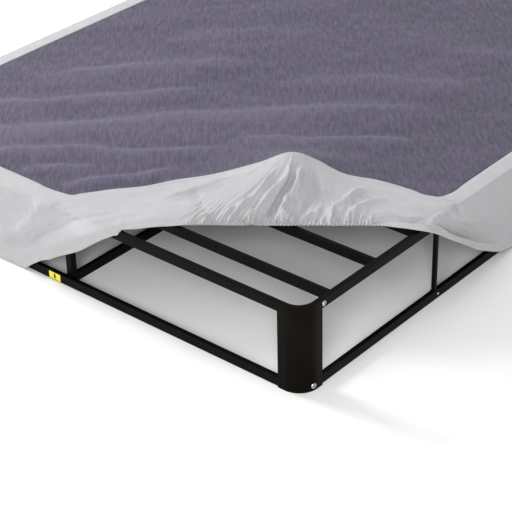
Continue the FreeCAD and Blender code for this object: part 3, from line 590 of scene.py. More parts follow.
# ---------------------------------------------------------------- steel details
@dataclass
class SteelDetails:
    """Small things on the steel that are not CAD solids: weld beads and the arrow on the sticker."""

    bed: Bed
    finisher: Finisher
    bead_radius: float = 1.5 * MM
    bead_pitch: float = 2.2 * MM
    guard_bend: float = 51.0 * MM
    socket_radius: float = 2.4 * MM
    socket_depth: float = 1.9 * MM
    socket_shade: float = 0.5 * MM

    def bead(self) -> bpy.types.Object:
        """One flattened drop of weld metal at the origin, to be copied."""
        bpy.ops.object.select_all(action="DESELECT")
        bpy.ops.mesh.primitive_uv_sphere_add(segments=8, ring_count=5, radius=self.bead_radius)
        drop = bpy.context.object
        bpy.ops.object.mode_set(mode="EDIT")
        bpy.ops.mesh.select_all(action="SELECT")
        bpy.ops.transform.resize(value=(1.0, 1.0, 0.75))
        bpy.ops.mesh.faces_shade_smooth()
        bpy.ops.object.mode_set(mode="OBJECT")
        return drop

    def run(self, drop: bpy.types.Object, start: Vector, end: Vector) -> list[bpy.types.Object]:
        """Copies of the drop along a straight seam."""
        count = max(2, round((end - start).length / self.bead_pitch))
        made = []
        for step in range(count + 1):
            copy = drop.copy()
            copy.data = drop.data.copy()
            copy.location = start.lerp(end, step / count)
            bpy.context.scene.collection.objects.link(copy)
            made.append(copy)
        return made

    def post_welds(self) -> bpy.types.Object:
        """Beads round both ends of every post that stands between two rails."""
        drop = self.bead()
        beads: list[bpy.types.Object] = []
        for node in ("foot_right_post", "foot_left_post", "head_right_post", "head_left_post"):
            low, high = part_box(node)
            for level in (low.z, high.z):
                for side in (low.y, high.y):
                    beads += self.run(drop, Vector((low.x, side, level)), Vector((high.x, side, level)))
        for node, inner in (("foot_centre_post", 1.0), ("head_centre_post", -1.0)):
            low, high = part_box(node)
            for level in (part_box("foot_lower_end_tube")[1].z,):
                outer = low.y if inner > 0 else high.y
                beads += self.run(drop, Vector((low.x, outer, level)), Vector((high.x, outer, level)))
                for side in (low.x, high.x):
                    beads += self.run(drop, Vector((side, outer, level)), Vector((side, outer, level - 0.02)))
        bpy.data.objects.remove(drop)
        return self.finisher.dress(join("post_welds", beads), Slot.POWDER_COAT, "frame")

    def bolt_heads(self, frame: dict) -> list[tuple[Vector, Vector]]:
        """Crown and outward direction of every guard screw and rail bolt."""
        found = []
        bend = Vector((self.bed.half_width - self.guard_bend, self.bed.half_length - self.guard_bend))
        for node in ("guard_screws", "rail_bolts"):
            mesh = frame["nodes"][node].data
            points = np.zeros(len(mesh.vertices) * 3)
            mesh.vertices.foreach_get("co", points)
            points = points.reshape(-1, 3)
            for side_x in (-1.0, 1.0):
                for side_y in (-1.0, 1.0):
                    near = points[(points[:, 0] * side_x > 0) & (points[:, 1] * side_y > 0)]
                    middle = (near.min(0) + near.max(0)) / 2
                    outward = Vector((side_x, 0.0, 0.0))
                    if node == "guard_screws":
                        outward = Vector((middle[0] - side_x * bend.x, middle[1] - side_y * bend.y, 0.0)).normalized()
                    reach = near @ np.array(outward)
                    crown = near[reach > reach.max() - 0.3 * MM]
                    found.append((Vector((crown.min(0) + crown.max(0)) / 2), outward))
        return found

    def painted_socket_shade(self, frame: dict) -> bpy.types.Object:
        """Dark discs laid in the hexagon sockets of the bolt heads: painted shade that stands for the shadow inside
        each socket.
        """
        shade_discs = []
        # Each disc is painted shade laid on a socket's floor, not a dark finish of the screw.
        for crown, outward in self.bolt_heads(frame):
            bpy.ops.object.select_all(action="DESELECT")
            bpy.ops.mesh.primitive_cylinder_add(vertices=6, radius=self.socket_radius, depth=self.socket_shade)
            floor = bpy.context.object
            floor.rotation_euler = outward.to_track_quat("Z", "Y").to_euler()
            floor.location = crown - outward * (self.socket_depth - self.socket_shade / 2)
            shade_discs.append(settle(floor))
        piece = join("painted_socket_shade", shade_discs)
        piece.data.materials.clear()
        # Near-black metal for the discs: painted shade in the sockets.
        piece.data.materials.append(PlatedSteel("socket_shade", (0.03, 0.03, 0.03), (0.02, 0.02, 0.02), 0.6).build())
        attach(piece, "frame")
        return piece

    def sticker_arrow(self) -> bpy.types.Object:
        """Plain black bent arrow, a thin print raised on the face of the sticker."""
        low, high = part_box("arrow_sticker")
        across, up = (high.x - low.x), (high.z - low.z)
        centre = (low + high) / 2
        bars = [(0.0, 0.16, 0.13, 0.4)]
        made = []
        for offset_x, offset_z, size_x, size_z in bars:
            bpy.ops.object.select_all(action="DESELECT")
            bpy.ops.mesh.primitive_cube_add(size=1.0)
            bar = bpy.context.object
            bar.scale = (size_x * across, 0.12 * MM, size_z * up)
            bar.location = (centre.x + offset_x * across, low.y - 0.05 * MM, centre.z + offset_z * up)
            made.append(settle(bar))
        bpy.ops.object.select_all(action="DESELECT")
        bpy.ops.mesh.primitive_cylinder_add(vertices=3, radius=0.3 * up, depth=0.12 * MM)
        head = bpy.context.object
        head.rotation_euler = (math.pi / 2, math.pi, 0.0)
        head.location = (centre.x, low.y - 0.05 * MM, centre.z - 0.14 * up)
        made.append(settle(head))
        arrow = join("sticker_arrow", made)
        arrow.data.materials.clear()
        arrow.data.materials.append(Vinyl("black_print", (0.012, 0.012, 0.012), (0.05, 0.05, 0.05)).build())
        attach(arrow, "frame")
        return arrow


# ---------------------------------------------------------------- the cover
@dataclass(frozen=True)
class Perimeter:
    """Outer outline of the fitted cover: a rectangle with round corners.

    Distances along it start at the middle of the foot right corner and grow along the right side.
    """

    half_width: float
    half_length: float
    radius: float = 61.2 * MM

    @property
    def corner(self) -> float:
        """Length of one round corner."""
        return self.radius * math.pi / 2

    @property
    def side(self) -> float:
        """Straight length of a long side."""
        return 2 * (self.half_length - self.radius)

    @property
    def end(self) -> float:
        """Straight length of an end."""
        return 2 * (self.half_width - self.radius)

    @property
    def length(self) -> float:
        """Whole length round the bed."""
        return 4 * self.corner + 2 * self.side + 2 * self.end

    @property
    def fitted_corners(self) -> tuple[float, float, float]:
        """Distances of the middles of the other three corners."""
        first = self.corner + self.side
        second = first + self.corner + self.end
        return first, second, second + self.corner + self.side

    def at(self, distance: float) -> tuple[np.ndarray, np.ndarray]:
        """Point of the outline and its outward direction.

        Args:
            distance: distance along the outline, which may be negative.

        Returns:
            The point and the unit vector, both in plan.
        """
        left = (distance + self.corner / 2) % self.length
        centre = np.array([self.half_width - self.radius, -self.half_length + self.radius])
        turn = -math.pi / 2
        for run, heading in ((self.side, (0, 1)), (self.end, (-1, 0)), (self.side, (0, -1)), (self.end, (1, 0))):
            if left <= self.corner:
                angle = turn + left / self.radius
                outward = np.array([math.cos(angle), math.sin(angle)])
                return centre + self.radius * outward, outward
            left -= self.corner
            turn += math.pi / 2
            outward = np.array([math.cos(turn), math.sin(turn)])
            if left <= run:
                return centre + np.array(heading) * left + self.radius * outward, outward
            left -= run
            centre = centre + np.array(heading) * run
        return centre + self.radius * np.array([0.0, -1.0]), np.array([0.0, -1.0])


def clear_of_steel(grid: np.ndarray, bed: Bed, gap: float = 4.6 * MM) -> np.ndarray:
    """Push points out of the block that holds the steel frame, by the shortest way.

    Args:
        grid: points, in any shape that ends in 3.
        bed: measures of the frame.
        gap: distance kept between the points and the steel.

    Returns:
        The moved points.
    """
    made = grid.copy()
    over = bed.height + gap - made[..., 2]
    side = bed.half_width + gap - np.abs(made[..., 0])
    end = bed.half_length + gap - np.abs(made[..., 1])
    within = (over > 0) & (side > 0) & (end > 0)
    least = np.minimum(over, np.minimum(side, end))
    made[..., 2] += np.where(within & (over == least), over, 0.0)
    made[..., 0] += np.where(within & (side == least), side, 0.0) * np.sign(made[..., 0])
    made[..., 1] += np.where(within & (end == least), end, 0.0) * np.sign(made[..., 1])
    return made


def surface_normals(grid: np.ndarray) -> np.ndarray:
    """Unit normals of a grid of points, pointing away from the bed.

    Args:
        grid: points, shape (columns, rows, 3).

    Returns:
        Normals of the same shape.
    """
    along = np.gradient(grid, axis=0)
    down = np.gradient(grid, axis=1)
    normal = np.cross(down, along)
    return normal / np.maximum(np.linalg.norm(normal, axis=2, keepdims=True), 1e-9)


@dataclass(frozen=True)
class Cut:
    """One cut across the turned part of the skirt.

    along is the place of the cut on the flat skirt, in mm from the corner. The five points run from the
    seam to the hem, in mm: in from the right side rail, in from the end rail, and above the floor.
    """

    along: float
    points: tuple[Point, Point, Point, Point, Point]


TURNED_CORNER = (
    Cut(-887, ((900, 45, 231), (900, -2, 230), (900, -10, 160), (900, -10, 80), (900, -10, 3))),
    Cut(-785, ((801, 46, 232), (804, -3, 230), (808, -10, 172), (811, -19, 110), (813, -13, 61))),
    Cut(-762, ((768, 53, 232), (781, -4, 229), (787, -11, 172), (792, -22, 112), (794, -14, 70))),
    Cut(-742, ((757, 69, 232), (768, 5, 230), (772, -12, 175), (776, -23, 122), (776, -14, 82))),
    Cut(-637, ((714, 128, 234), (703, 40, 233), (699, -8, 227), (692, -27, 178), (686, -15, 135))),
    Cut(-512, ((651, 198, 236), (640, 85, 233), (612, 0, 240), (597, -24, 226), (586, -14, 208))),
    Cut(-427, ((613, 255, 240), (585, 160, 238), (560, 85, 243), (540, 45, 243), (530, 31, 232))),
    Cut(-307, ((548, 318, 250), (518, 255, 256), (490, 195, 256), (466, 143, 246), (452, 116, 232))),
    Cut(-150, ((463, 402, 277), (440, 350, 280), (413, 290, 274), (382, 222, 252), (362, 187, 232))),
    Cut(0, ((395, 448, 309), (378, 410, 307), (345, 355, 286), (300, 295, 254), (272, 257, 232))),
    Cut(140, ((347, 490, 286), (320, 470, 288), (270, 430, 276), (200, 372, 250), (165, 341, 232))),
    Cut(240, ((282, 510, 262), (250, 495, 266), (190, 463, 264), (125, 422, 246), (91, 398, 232))),
    Cut(366, ((205, 559, 246), (165, 545, 250), (100, 512, 252), (25, 470, 243), (-20, 450, 231))),
    Cut(487, ((122, 581, 238), (72, 575, 241), (0, 562, 234), (-14, 553, 192), (-30, 524, 180))),
    Cut(570, ((80, 587, 235), (15, 600, 232), (-27, 599, 193), (-9, 620, 146), (-43, 580, 142))),
    Cut(593, ((55, 600, 234), (-2, 608, 231), (-30, 611, 193), (-8, 636, 139), (-46, 593, 133))),
    Cut(614, ((46, 625, 233), (-3, 629, 231), (-29, 627, 190), (-7, 650, 134), (-46, 607, 122))),
    Cut(687, ((45, 700, 232), (-3, 704, 231), (-26, 705, 175), (-8, 726, 97), (-42, 676, 80))),
    Cut(787, ((45, 800, 232), (-3, 802, 231), (-16, 806, 160), (-11, 812, 68), (-24, 788, 22))),
    Cut(887, ((45, 900, 231), (-3, 900, 230), (-10, 900, 160), (-10, 900, 80), (-10, 900, 3))),
)


@dataclass(frozen=True)
class Ridge:
    """One soft ridge along a line, or a valley where rise is negative; all in mm."""

    line: tuple[tuple[float, float], ...]
    rise: float
    width: float
    fade_in: float = 0.22
    fade_out: float = 0.22
    lean: float = 1.4
    samples: int = 60

    def height(self, places: np.ndarray, seed: int) -> np.ndarray:
        """Height of the ridge over a plane.

        Args:
            places: points in mm, shape (n, 2).
            seed: seed of its small irregularities.

        Returns:
            Heights in mm.
        """
        line = np.array(self.line, float)
        shares = np.linspace(0.0, 1.0, self.samples)
        fine = smooth_through(np.linspace(0.0, 1.0, len(line)), line, shares)
        heading = np.gradient(fine, axis=0)
        heading /= np.linalg.norm(heading, axis=1, keepdims=True)
        best, along, signed = np.full(len(places), 1e9), np.zeros(len(places)), np.zeros(len(places))
        for share, point, direction in zip(shares, fine, heading):
            offset = places - point
            away = np.linalg.norm(offset, axis=1)
            nearer = away < best
            side = np.sign(offset[:, 0] * direction[1] - offset[:, 1] * direction[0])
            best, along = np.where(nearer, away, best), np.where(nearer, share, along)
            signed = np.where(nearer, side * away, signed)
        row = np.full(len(along), float(seed))
        signed = signed + 0.3 * self.width * value_noise(np.column_stack([along * 9.0, row]), 3)
        distance = signed / self.width * np.where(signed > 0, self.lean, 1.0 / self.lean)
        ends = smoothstep(0.0, self.fade_in, along) * smoothstep(1.0, 1.0 - self.fade_out, along)
        vary = 0.85 + 0.3 * value_noise(np.column_stack([along * 6.0, row + 20.0]), 4)
        return self.rise * vary * ends * np.exp(-(distance**2))


TOP_WRINKLES = (
    Ridge(((1420, 140), (1282, 286), (1166, 400), (1063, 504), (967, 625), (900, 740)), 12.5, 32.6),
    Ridge(((1230, 90), (1158, 173), (1016, 335), (855, 504), (690, 663), (546, 798), (392, 917), (250, 1010)),
            10.5, 49.3),
    Ridge(((1120, 60), (1074, 96), (982, 182), (874, 259), (771, 326), (667, 413), (565, 514)), 12.5, 28.3),
    Ridge(((640, 470), (560, 560), (473, 621), (365, 734), (250, 830)), 13.4, 32.6),
    Ridge(((833, 56), (768, 152), (678, 256), (640, 320)), 12.5, 21.8),
    Ridge(((969, 68), (893, 135), (809, 194)), 8.0, 21.8),
    Ridge(((1360, 420), (1200, 620), (1040, 800), (900, 930)), 10.7, 47.9),
    Ridge(((820, 820), (640, 980), (470, 1100), (300, 1190)), 8.9, 43.5),
    Ridge(((1250, 900), (1050, 1080), (850, 1210)), 7.1, 50.0),
    Ridge(((560, 1250), (360, 1400), (180, 1500)), 6.3, 43.5),
)


SKIRT_FOLDS = (
    Ridge(((-112, 275), (-80, 231), (-40, 165), (16, 95), (4, 40)), 27, 18, 0.05, 0.3),
    Ridge(((-82, 256), (-32, 221), (8, 150), (32, 105), (32, 50)), -16, 10, 0.25, 0.25),
    Ridge(((-4, 270), (8, 196), (40, 125), (88, 35)), 27, 22, 0.08, 0.25),
    Ridge(((52, 240), (75, 180), (105, 110), (125, 60)), -11, 14, 0.2, 0.3),
    Ridge(((-172, 270), (-144, 201), (-104, 160), (-56, 90), (-40, 45)), 15, 13, 0.08, 0.4),
    Ridge(((-214, 275), (-184, 231), (-168, 206), (-150, 175)), 11, 10, 0.1, 0.5),
    Ridge(((-262, 275), (-240, 240), (-205, 200)), 10, 9, 0.1, 0.5),
    Ridge(((-328, 90), (-288, 170), (-232, 245)), -12, 13, 0.3, 0.3),
    Ridge(((-500, 130), (-424, 115), (-360, 105), (-320, 85), (-256, 50), (-180, 40)), 14, 15, 0.4, 0.3),
    Ridge(((56, 270), (72, 241), (104, 211), (150, 185)), 12, 10, 0.1, 0.5),
    Ridge(((124, 275), (136, 216), (192, 155), (260, 90), (336, 30)), 15, 12, 0.08, 0.4),
    Ridge(((166, 270), (192, 211), (288, 140), (350, 110)), 12, 11, 0.08, 0.5),
    Ridge(((200, 274), (248, 241), (296, 226), (360, 212)), 10, 8, 0.1, 0.4),
    Ridge(((-990, 255), (-880, 192), (-776, 162), (-656, 165), (-536, 180), (-450, 150)), -13, 20, 0.2, 0.4),
    Ridge(((-980, 215), (-864, 140), (-808, 100), (-785, 40)), 9, 20, 0.3, 0.35),
    Ridge(((270, 246), (368, 228), (432, 226), (488, 236), (616, 221), (850, 231)), -16, 12, 0.2, 0.3),
    Ridge(((250, 268), (392, 247), (496, 258), (656, 252), (840, 266)), 12, 12, 0.2, 0.3),
    Ridge(((594, -5), (540, 90), (464, 190)), 5, 15, 0.1, 0.4),
)


@dataclass
class SkirtShape:
    """Shape of the skirt: fitted round the bed and lifted on to the slats at one corner."""

    bed: Bed
    perimeter: Perimeter
    seam_inset: float = 45.0 * MM
    edge_roll: float = 12.0 * MM
    hem_height: float = 2.0 * MM
    gather: tuple[float, float] = (-307.0 * MM, 240.0 * MM)
    ruffle_pitch: float = 9.6 * MM
    ruffle_depth: float = 5.2 * MM
    ruffle_reach: float = 18.0 * MM
    ruffle_lean: float = 0.45
    corner_reach: float = 240.0 * MM
    hem_fold: float = 14.0 * MM
    hem_ply: float = 0.8 * MM
    fitted_share_start: float = 850.0 * MM
    fitted_share_end: float = 950.0 * MM

    def __post_init__(self) -> None:
        """Work out the guide lines of the turned corner."""
        self.knots = np.array([cut.along for cut in TURNED_CORNER]) * MM
        self.guides = self.bed.inward(np.array([cut.points for cut in TURNED_CORNER], float))

    @property
    def inset(self) -> float:
        """Seam to the outer face of the skirt."""
        return self.seam_inset + self.bed.cover_half_width - self.bed.half_width

    @property
    def depth(self) -> float:
        """Depth of the flat skirt, from the seam to the hem."""
        return (self.inset - self.edge_roll + self.edge_roll * math.pi / 2
                + self.bed.cover_top - self.edge_roll - self.hem_height)

    def profile(self, rows: np.ndarray) -> tuple[np.ndarray, np.ndarray]:
        """Fitted section of the skirt.

        Args:
            rows: distances from the seam.

        Returns:
            How far each row lies inside the outer face, and its height.
        """
        flat = self.inset - self.edge_roll
        bent = flat + self.edge_roll * math.pi / 2
        angle = np.clip((rows - flat) / self.edge_roll, 0.0, math.pi / 2)
        inside = np.where(rows < flat, self.inset - rows, self.edge_roll * (1.0 - np.sin(angle)))
        height = (self.bed.cover_top - self.edge_roll * (1.0 - np.cos(angle))
                  - np.maximum(rows - bent, 0.0))
        return inside, height

    def sway(self, distance: float, rows: np.ndarray) -> np.ndarray:
        """Soft outward waves of the hanging skirt, which grow towards the hem."""
        drop = smoothstep(0.06, self.depth, rows)
        waves = (math.sin(distance * 17.3 + 0.4) + 0.7 * math.sin(distance * 9.1 + 2.0)
                 + 0.5 * math.sin(distance * 31.7 + 1.1))
        return drop * (1.2 + 1.3 * waves) * MM

    def fitted(self, distance: float, rows: np.ndarray) -> np.ndarray:
        """Column of the fitted skirt."""
        point, outward = self.perimeter.at(distance)
        inside, height = self.profile(rows)
        reach = self.sway(distance, rows) - inside
        plan = point[None, :] + reach[:, None] * outward[None, :]
        return np.column_stack([plan, height])

    def turned(self, distance: float, rows: np.ndarray) -> np.ndarray:
        """Column of the turned corner, smooth through its five guide points."""
        flat = self.guides.reshape(len(self.guides), -1)
        points = smooth_through(self.knots, flat, np.array([distance]))[0].reshape(5, 3)
        chords = np.concatenate([[0.0], np.cumsum(np.linalg.norm(np.diff(points, axis=0), axis=1))])
        return smooth_through(chords / chords[-1], points, rows / self.depth)

    def base(self, columns: np.ndarray, rows: np.ndarray) -> np.ndarray:
        """Skirt surface before its folds.

        Args:
            columns: distances along the skirt from the turned corner.
            rows: distances from the seam.

        Returns:
            Points in the row frame, shape (columns, rows, 3).
        """
        made = np.zeros((len(columns), len(rows), 3))
        for number, distance in enumerate(columns):
            share = float(smoothstep(self.fitted_share_end, self.fitted_share_start, abs(distance)))
            column = np.zeros((len(rows), 3))
            if share < 1.0:
                column += (1.0 - share) * self.fitted(distance, rows)
            if share > 0.0:
                column += share * self.turned(distance, rows)
            made[number] = column
        flat = np.stack(np.meshgrid(columns, rows, indexing="ij"), axis=-1).reshape(-1, 2) / MM
        height = sum(fold.height(flat, seed) for seed, fold in enumerate(SKIRT_FOLDS)) * MM
        calm = smoothstep(0.0, 0.012, rows) * (0.2 + 0.8 * smoothstep(0.0, 0.035, self.depth - rows))
        height = height.reshape(len(columns), len(rows)) * calm[None, :]
        made = clear_of_steel(made, self.bed)
        normals = surface_normals(made)
        for share in (1.0, 0.75, 0.5, 0.25, 0.0):
            folded = made + normals * height[:, :, None]
            inside = np.any(np.abs(clear_of_steel(folded, self.bed) - folded) > 1e-6, axis=2) & (height < 0.0)
            height = np.where(inside, height * share, height)
        return clear_of_steel(folded, self.bed)

    def gathered_share(self, columns: np.ndarray) -> np.ndarray:
        """How much of the hem's gathers each column has, from 0 to 1."""
        edge = 25.0 * MM
        share = (smoothstep(self.gather[0] - edge, self.gather[0] + edge, columns)
                 * smoothstep(self.gather[1] + edge, self.gather[1] - edge, columns))
        for corner in self.perimeter.fitted_corners:
            share = share + 0.7 * smoothstep(self.corner_reach, 0.6 * self.corner_reach, np.abs(columns - corner))
        return share

    def ruffles(self, columns: np.ndarray, rows: np.ndarray) -> np.ndarray:
        """Fine gathers of the elastic hem, as a push along the surface's normal."""
        wander = value_noise(np.column_stack([columns / 0.021, np.zeros(len(columns))]), 5)
        strength = 0.9 + 0.3 * value_noise(np.column_stack([columns / 0.013, np.full(len(columns), 7.5)]), 6)
        above = np.maximum(self.depth - rows, 0.0)
        leaned = columns[:, None] - self.ruffle_lean * np.maximum(above - self.hem_fold, 0.0)[None, :]
        phase = 2 * math.pi * leaned / self.ruffle_pitch + 1.0 * wander[:, None]
        puffs = 2.0 * np.abs(np.sin(phase / 2)) - 1.3
        fine = puffs * np.exp(-above / self.ruffle_reach)[None, :]
        broad_phase = 2 * math.pi * leaned / (2.3 * self.ruffle_pitch) + 2.6 * wander[:, None]
        broad_near = np.exp(-above / (2.6 * self.ruffle_reach)) * smoothstep(0.0, 0.02, above)
        broad = np.sin(broad_phase) * broad_near[None, :]
        return (self.gathered_share(columns) * strength)[:, None] * self.ruffle_depth * (fine + 0.9 * broad)

    def hem_step(self, rows: np.ndarray) -> np.ndarray:
        """Thickness that the folded hem adds."""
        return self.hem_ply * smoothstep(self.depth - self.hem_fold - 1.0 * MM, self.depth - self.hem_fold, rows)


@dataclass
class FoldSimulation:
    """Cloth simulation that turns the slack of the turned corner into folds."""

    shape: SkirtShape
    reach: float = 940.0 * MM
    column_pitch: float = 7.0 * MM
    row_pitch: float = 7.0 * MM
    frames: int = 36
    slack_at_seam: float = 0.10
    slack_at_hem: float = 0.26
    slack_elsewhere: float = 0.015
    kept_share: float = 0.42

    def slack(self, columns: np.ndarray, rows: np.ndarray) -> np.ndarray:
        """How much longer the flat cloth is than the shape it is held in."""
        low, high = self.shape.gather
        share = (smoothstep(low - 0.14, low + 0.04, columns) * smoothstep(high + 0.14, high - 0.04, columns))
        depth = (rows / self.shape.depth) ** 1.5
        gathers = self.slack_at_seam + (self.slack_at_hem - self.slack_at_seam) * depth
        return self.slack_elsewhere + share[:, None] * gathers[None, :]

    def rest_shape(self, grid: np.ndarray, columns: np.ndarray, rows: np.ndarray) -> np.ndarray:
        """Grid lengthened along the hem by the slack, from the middle outwards."""
        steps = np.diff(grid, axis=0)
        middle = (columns[:-1] + columns[1:]) / 2
        longer = steps * self.slack(middle, rows)[:, :, None]
        added = np.concatenate([np.zeros((1, len(rows), 3)), np.cumsum(longer, axis=0)])
        centre = len(columns) // 2
        return grid + added - added[centre][None]

    def run(self) -> tuple[np.ndarray, np.ndarray, np.ndarray]:
        """Simulate the folds.

        Returns:
            Columns, rows and the displacement of each grid point.
        """
        columns = np.linspace(-self.reach, self.reach, 2 * round(self.reach / self.column_pitch) + 1)
        rows = np.linspace(0.0, self.shape.depth, round(self.shape.depth / self.row_pitch) + 1)
        grid = self.shape.base(columns, rows)
        cloth = mesh_object("fold_cloth", grid.reshape(-1, 3), grid_faces(len(columns), len(rows)))
        blocks = self.colliders()
        cloth.shape_key_add(name="held")
        rest = cloth.shape_key_add(name="flat_length")
        for key_point, place in zip(rest.data, self.rest_shape(grid, columns, rows).reshape(-1, 3)):
            key_point.co = place
        pins = cloth.vertex_groups.new(name="pins")
        numbers = np.arange(len(columns) * len(rows)).reshape(len(columns), len(rows))
        held = set(numbers[0]) | set(numbers[-1]) | set(numbers[:, 0]) | set(numbers[:, -1])
        pins.add([int(number) for number in held], 1.0, "REPLACE")
        modifier = cloth.modifiers.new("folds", "CLOTH")
        settings = modifier.settings
        settings.quality = 7
        settings.mass = 0.15
        settings.tension_stiffness = settings.compression_stiffness = 20.0
        settings.shear_stiffness = 4.0
        settings.bending_stiffness = 0.12
        settings.tension_damping = settings.compression_damping = 8.0
        settings.air_damping = 4.0
        settings.vertex_group_mass = "pins"
        settings.rest_shape_key = rest
        modifier.collision_settings.distance_min = 1.5 * MM
        modifier.collision_settings.collision_quality = 2
        scene = bpy.context.scene
        first = scene.frame_current
        for frame_number in range(1, self.frames + 1):
            scene.frame_set(frame_number)
        graph = bpy.context.evaluated_depsgraph_get()
        folded = cloth.evaluated_get(graph).data
        places = np.zeros(len(folded.vertices) * 3)
        folded.vertices.foreach_get("co", places)
        scene.frame_set(first)
        for item in (cloth, *blocks):
            bpy.data.objects.remove(item)
        moved = self.kept_share * (places.reshape(grid.shape) - grid)
        LOG.info("folds move the cloth by up to %.1f mm", np.abs(moved).max() / MM)
        return columns, rows, moved

    def colliders(self) -> list[bpy.types.Object]:
        """Plain block that stands for the bed while the cloth falls on it."""
        bed = self.shape.bed
        bpy.ops.object.select_all(action="DESELECT")
        bpy.ops.mesh.primitive_cube_add(size=1.0)
        block = bpy.context.object
        block.scale = (2 * bed.half_width + 0.006, 2 * bed.half_length + 0.006, bed.height)
        block.location = (0.0, 0.0, bed.height / 2)
        settle(block)
        block.modifiers.new("solid", "COLLISION")
        block.collision.thickness_outer = 0.5 * MM
        return [block]


@dataclass
class FittedCover:
    """The fabric cover: skirt, top cloth and hem elastic."""

    bed: Bed
    finisher: Finisher
    thickness: float = 1.2 * MM
    turned_reach: tuple[float, float] = (-1040.0 * MM, 1000.0 * MM)
    seam_lap: float = 5.0 * MM
    cloth_pitch: float = 9.0 * MM
    full_crest: float = 12.0 * MM

    def __post_init__(self) -> None:
        """Set out the skirt and let its folds fall."""
        self.perimeter = Perimeter(self.bed.cover_half_width, self.bed.cover_half_length)
        self.shape = SkirtShape(self.bed, self.perimeter)
        self.fold_columns, self.fold_rows, self.folds = FoldSimulation(self.shape).run()

    def fold_moves(self, columns: np.ndarray, rows: np.ndarray) -> np.ndarray:
        """Displacement of the simulated folds at any columns and rows."""
        count = len(self.fold_rows)
        along = smooth_through(self.fold_columns, self.folds.reshape(len(self.fold_columns), -1), columns)
        along = along.reshape(len(columns), count, 3)
        down = smooth_through(self.fold_rows, along.transpose(1, 0, 2).reshape(count, -1), rows)
        made = down.reshape(len(rows), len(columns), 3).transpose(1, 0, 2)
        inside = np.abs(columns) < self.fold_columns[-1]
        return made * inside[:, None, None]

    def surface(self, columns: np.ndarray, rows: np.ndarray) -> np.ndarray:
        """Finished outer surface of the skirt."""
        grid = self.shape.base(columns, rows) + self.fold_moves(columns, rows)
        push = self.shape.ruffles(columns, rows) + self.shape.hem_step(rows)[None, :]
        grid = clear_of_steel(grid + surface_normals(grid) * push[:, :, None], self.bed)
        grid[:, :, 2] = np.maximum(grid[:, :, 2], self.shape.hem_height * 0.5)
        return grid

    def spaced(self, zones: list[tuple[float, float, float]]) -> np.ndarray:
        """Places from the first zone's start to the last one's end.

        Args:
            zones: start, end and pitch of each zone.

        Returns:
            Rising places without doubles.
        """
        runs = [np.linspace(start, end, max(2, round((end - start) / pitch) + 1))[:-1]
                for start, end, pitch in zones]
        return np.concatenate([*runs, [zones[-1][1]]])

    def rows(self) -> np.ndarray:
        """Rows from the seam to the hem, close together at the edge roll and the hem."""
        flat = self.shape.inset - self.shape.edge_roll
        bent = flat + self.shape.edge_roll * math.pi / 2
        depth, fold = self.shape.depth, self.shape.hem_fold
        return self.spaced([(0.0, flat, 7.0 * MM), (flat, bent, 2.6 * MM), (bent, depth - 0.05, 6.0 * MM),
                            (depth - 0.05, depth - fold - 1.0 * MM, 3.2 * MM),
                            (depth - fold - 1.0 * MM, depth - fold, 0.5 * MM),
                            (depth - fold, depth, 2.3 * MM)])

    def sheet_piece(self, name: str, columns: np.ndarray, rows: np.ndarray) -> bpy.types.Object:
        """Skirt panel with its thickness, from columns and rows of the flat cloth."""
        grid = self.surface(columns, rows)
        flat = np.stack(np.meshgrid(columns, rows, indexing="ij"), axis=-1).reshape(-1, 2)
        piece = mesh_object(name, grid.reshape(-1, 3), grid_faces(len(columns), len(rows)), flat)
        wall = piece.modifiers.new("thickness", "SOLIDIFY")
        wall.thickness = self.thickness
        wall.offset = -1.0
        apply_modifiers(piece)
        return piece

    def turned_skirt(self) -> bpy.types.Object:
        """The part of the skirt that shows the turned corner."""
        low, high = self.shape.gather
        start, end = self.turned_reach
        columns = self.spaced([(start, low - 0.03, 6.0 * MM), (low - 0.03, high + 0.03, 1.5 * MM),
                               (high + 0.03, end, 6.0 * MM)])
        piece = self.sheet_piece("cover_turned_skirt", columns, self.rows())
        self.finisher.dress(piece, Slot.SKIRT_CLOTH, "cover")
        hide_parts("cover_turned_corner", "cover_foot_skirt")
        return piece

    def fitted_skirt(self) -> bpy.types.Object:
        """The rest of the skirt, round the three fitted corners."""
        start, end = self.turned_reach[1], self.perimeter.length + self.turned_reach[0]
        zones, place = [], start
        for corner in self.perimeter.fitted_corners:
            zones += [(place, corner - self.shape.corner_reach, 14.0 * MM),
                      (corner - self.shape.corner_reach, corner + self.shape.corner_reach, 3.0 * MM)]
            place = corner + self.shape.corner_reach
        zones.append((place, end, 14.0 * MM))
        piece = self.sheet_piece("cover_fitted_skirt", self.spaced(zones), self.rows()[::1])
        self.finisher.dress(piece, Slot.SKIRT_CLOTH, "cover")
        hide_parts("cover_left_skirt", "cover_head_skirt", "cover_right_skirt")
        return piece

    def seam_line(self) -> np.ndarray:
        """Closed line of the top cloth's edge, tucked under the skirt."""
        corners = [0.0, *self.perimeter.fitted_corners]
        places = set(np.arange(-1.0, self.perimeter.length - 1.0, 10.0 * MM).round(6))
        for corner in corners:
            places |= set((corner + np.linspace(-0.05, 0.05, 21)).round(6))
        columns = np.array(sorted(place for place in places if -1.0 <= place < self.perimeter.length - 1.0))
        edge = self.surface(columns, np.array([0.0, self.seam_lap, 2 * self.seam_lap]))
        line = edge[:, 1].copy()
        line[:, 2] -= self.thickness + 0.3 * MM
        keep = [0]
        for number in range(1, len(line)):
            if np.linalg.norm(line[number, :2] - line[keep[-1], :2]) > 2.5 * MM:
                keep.append(number)
        return line[keep]

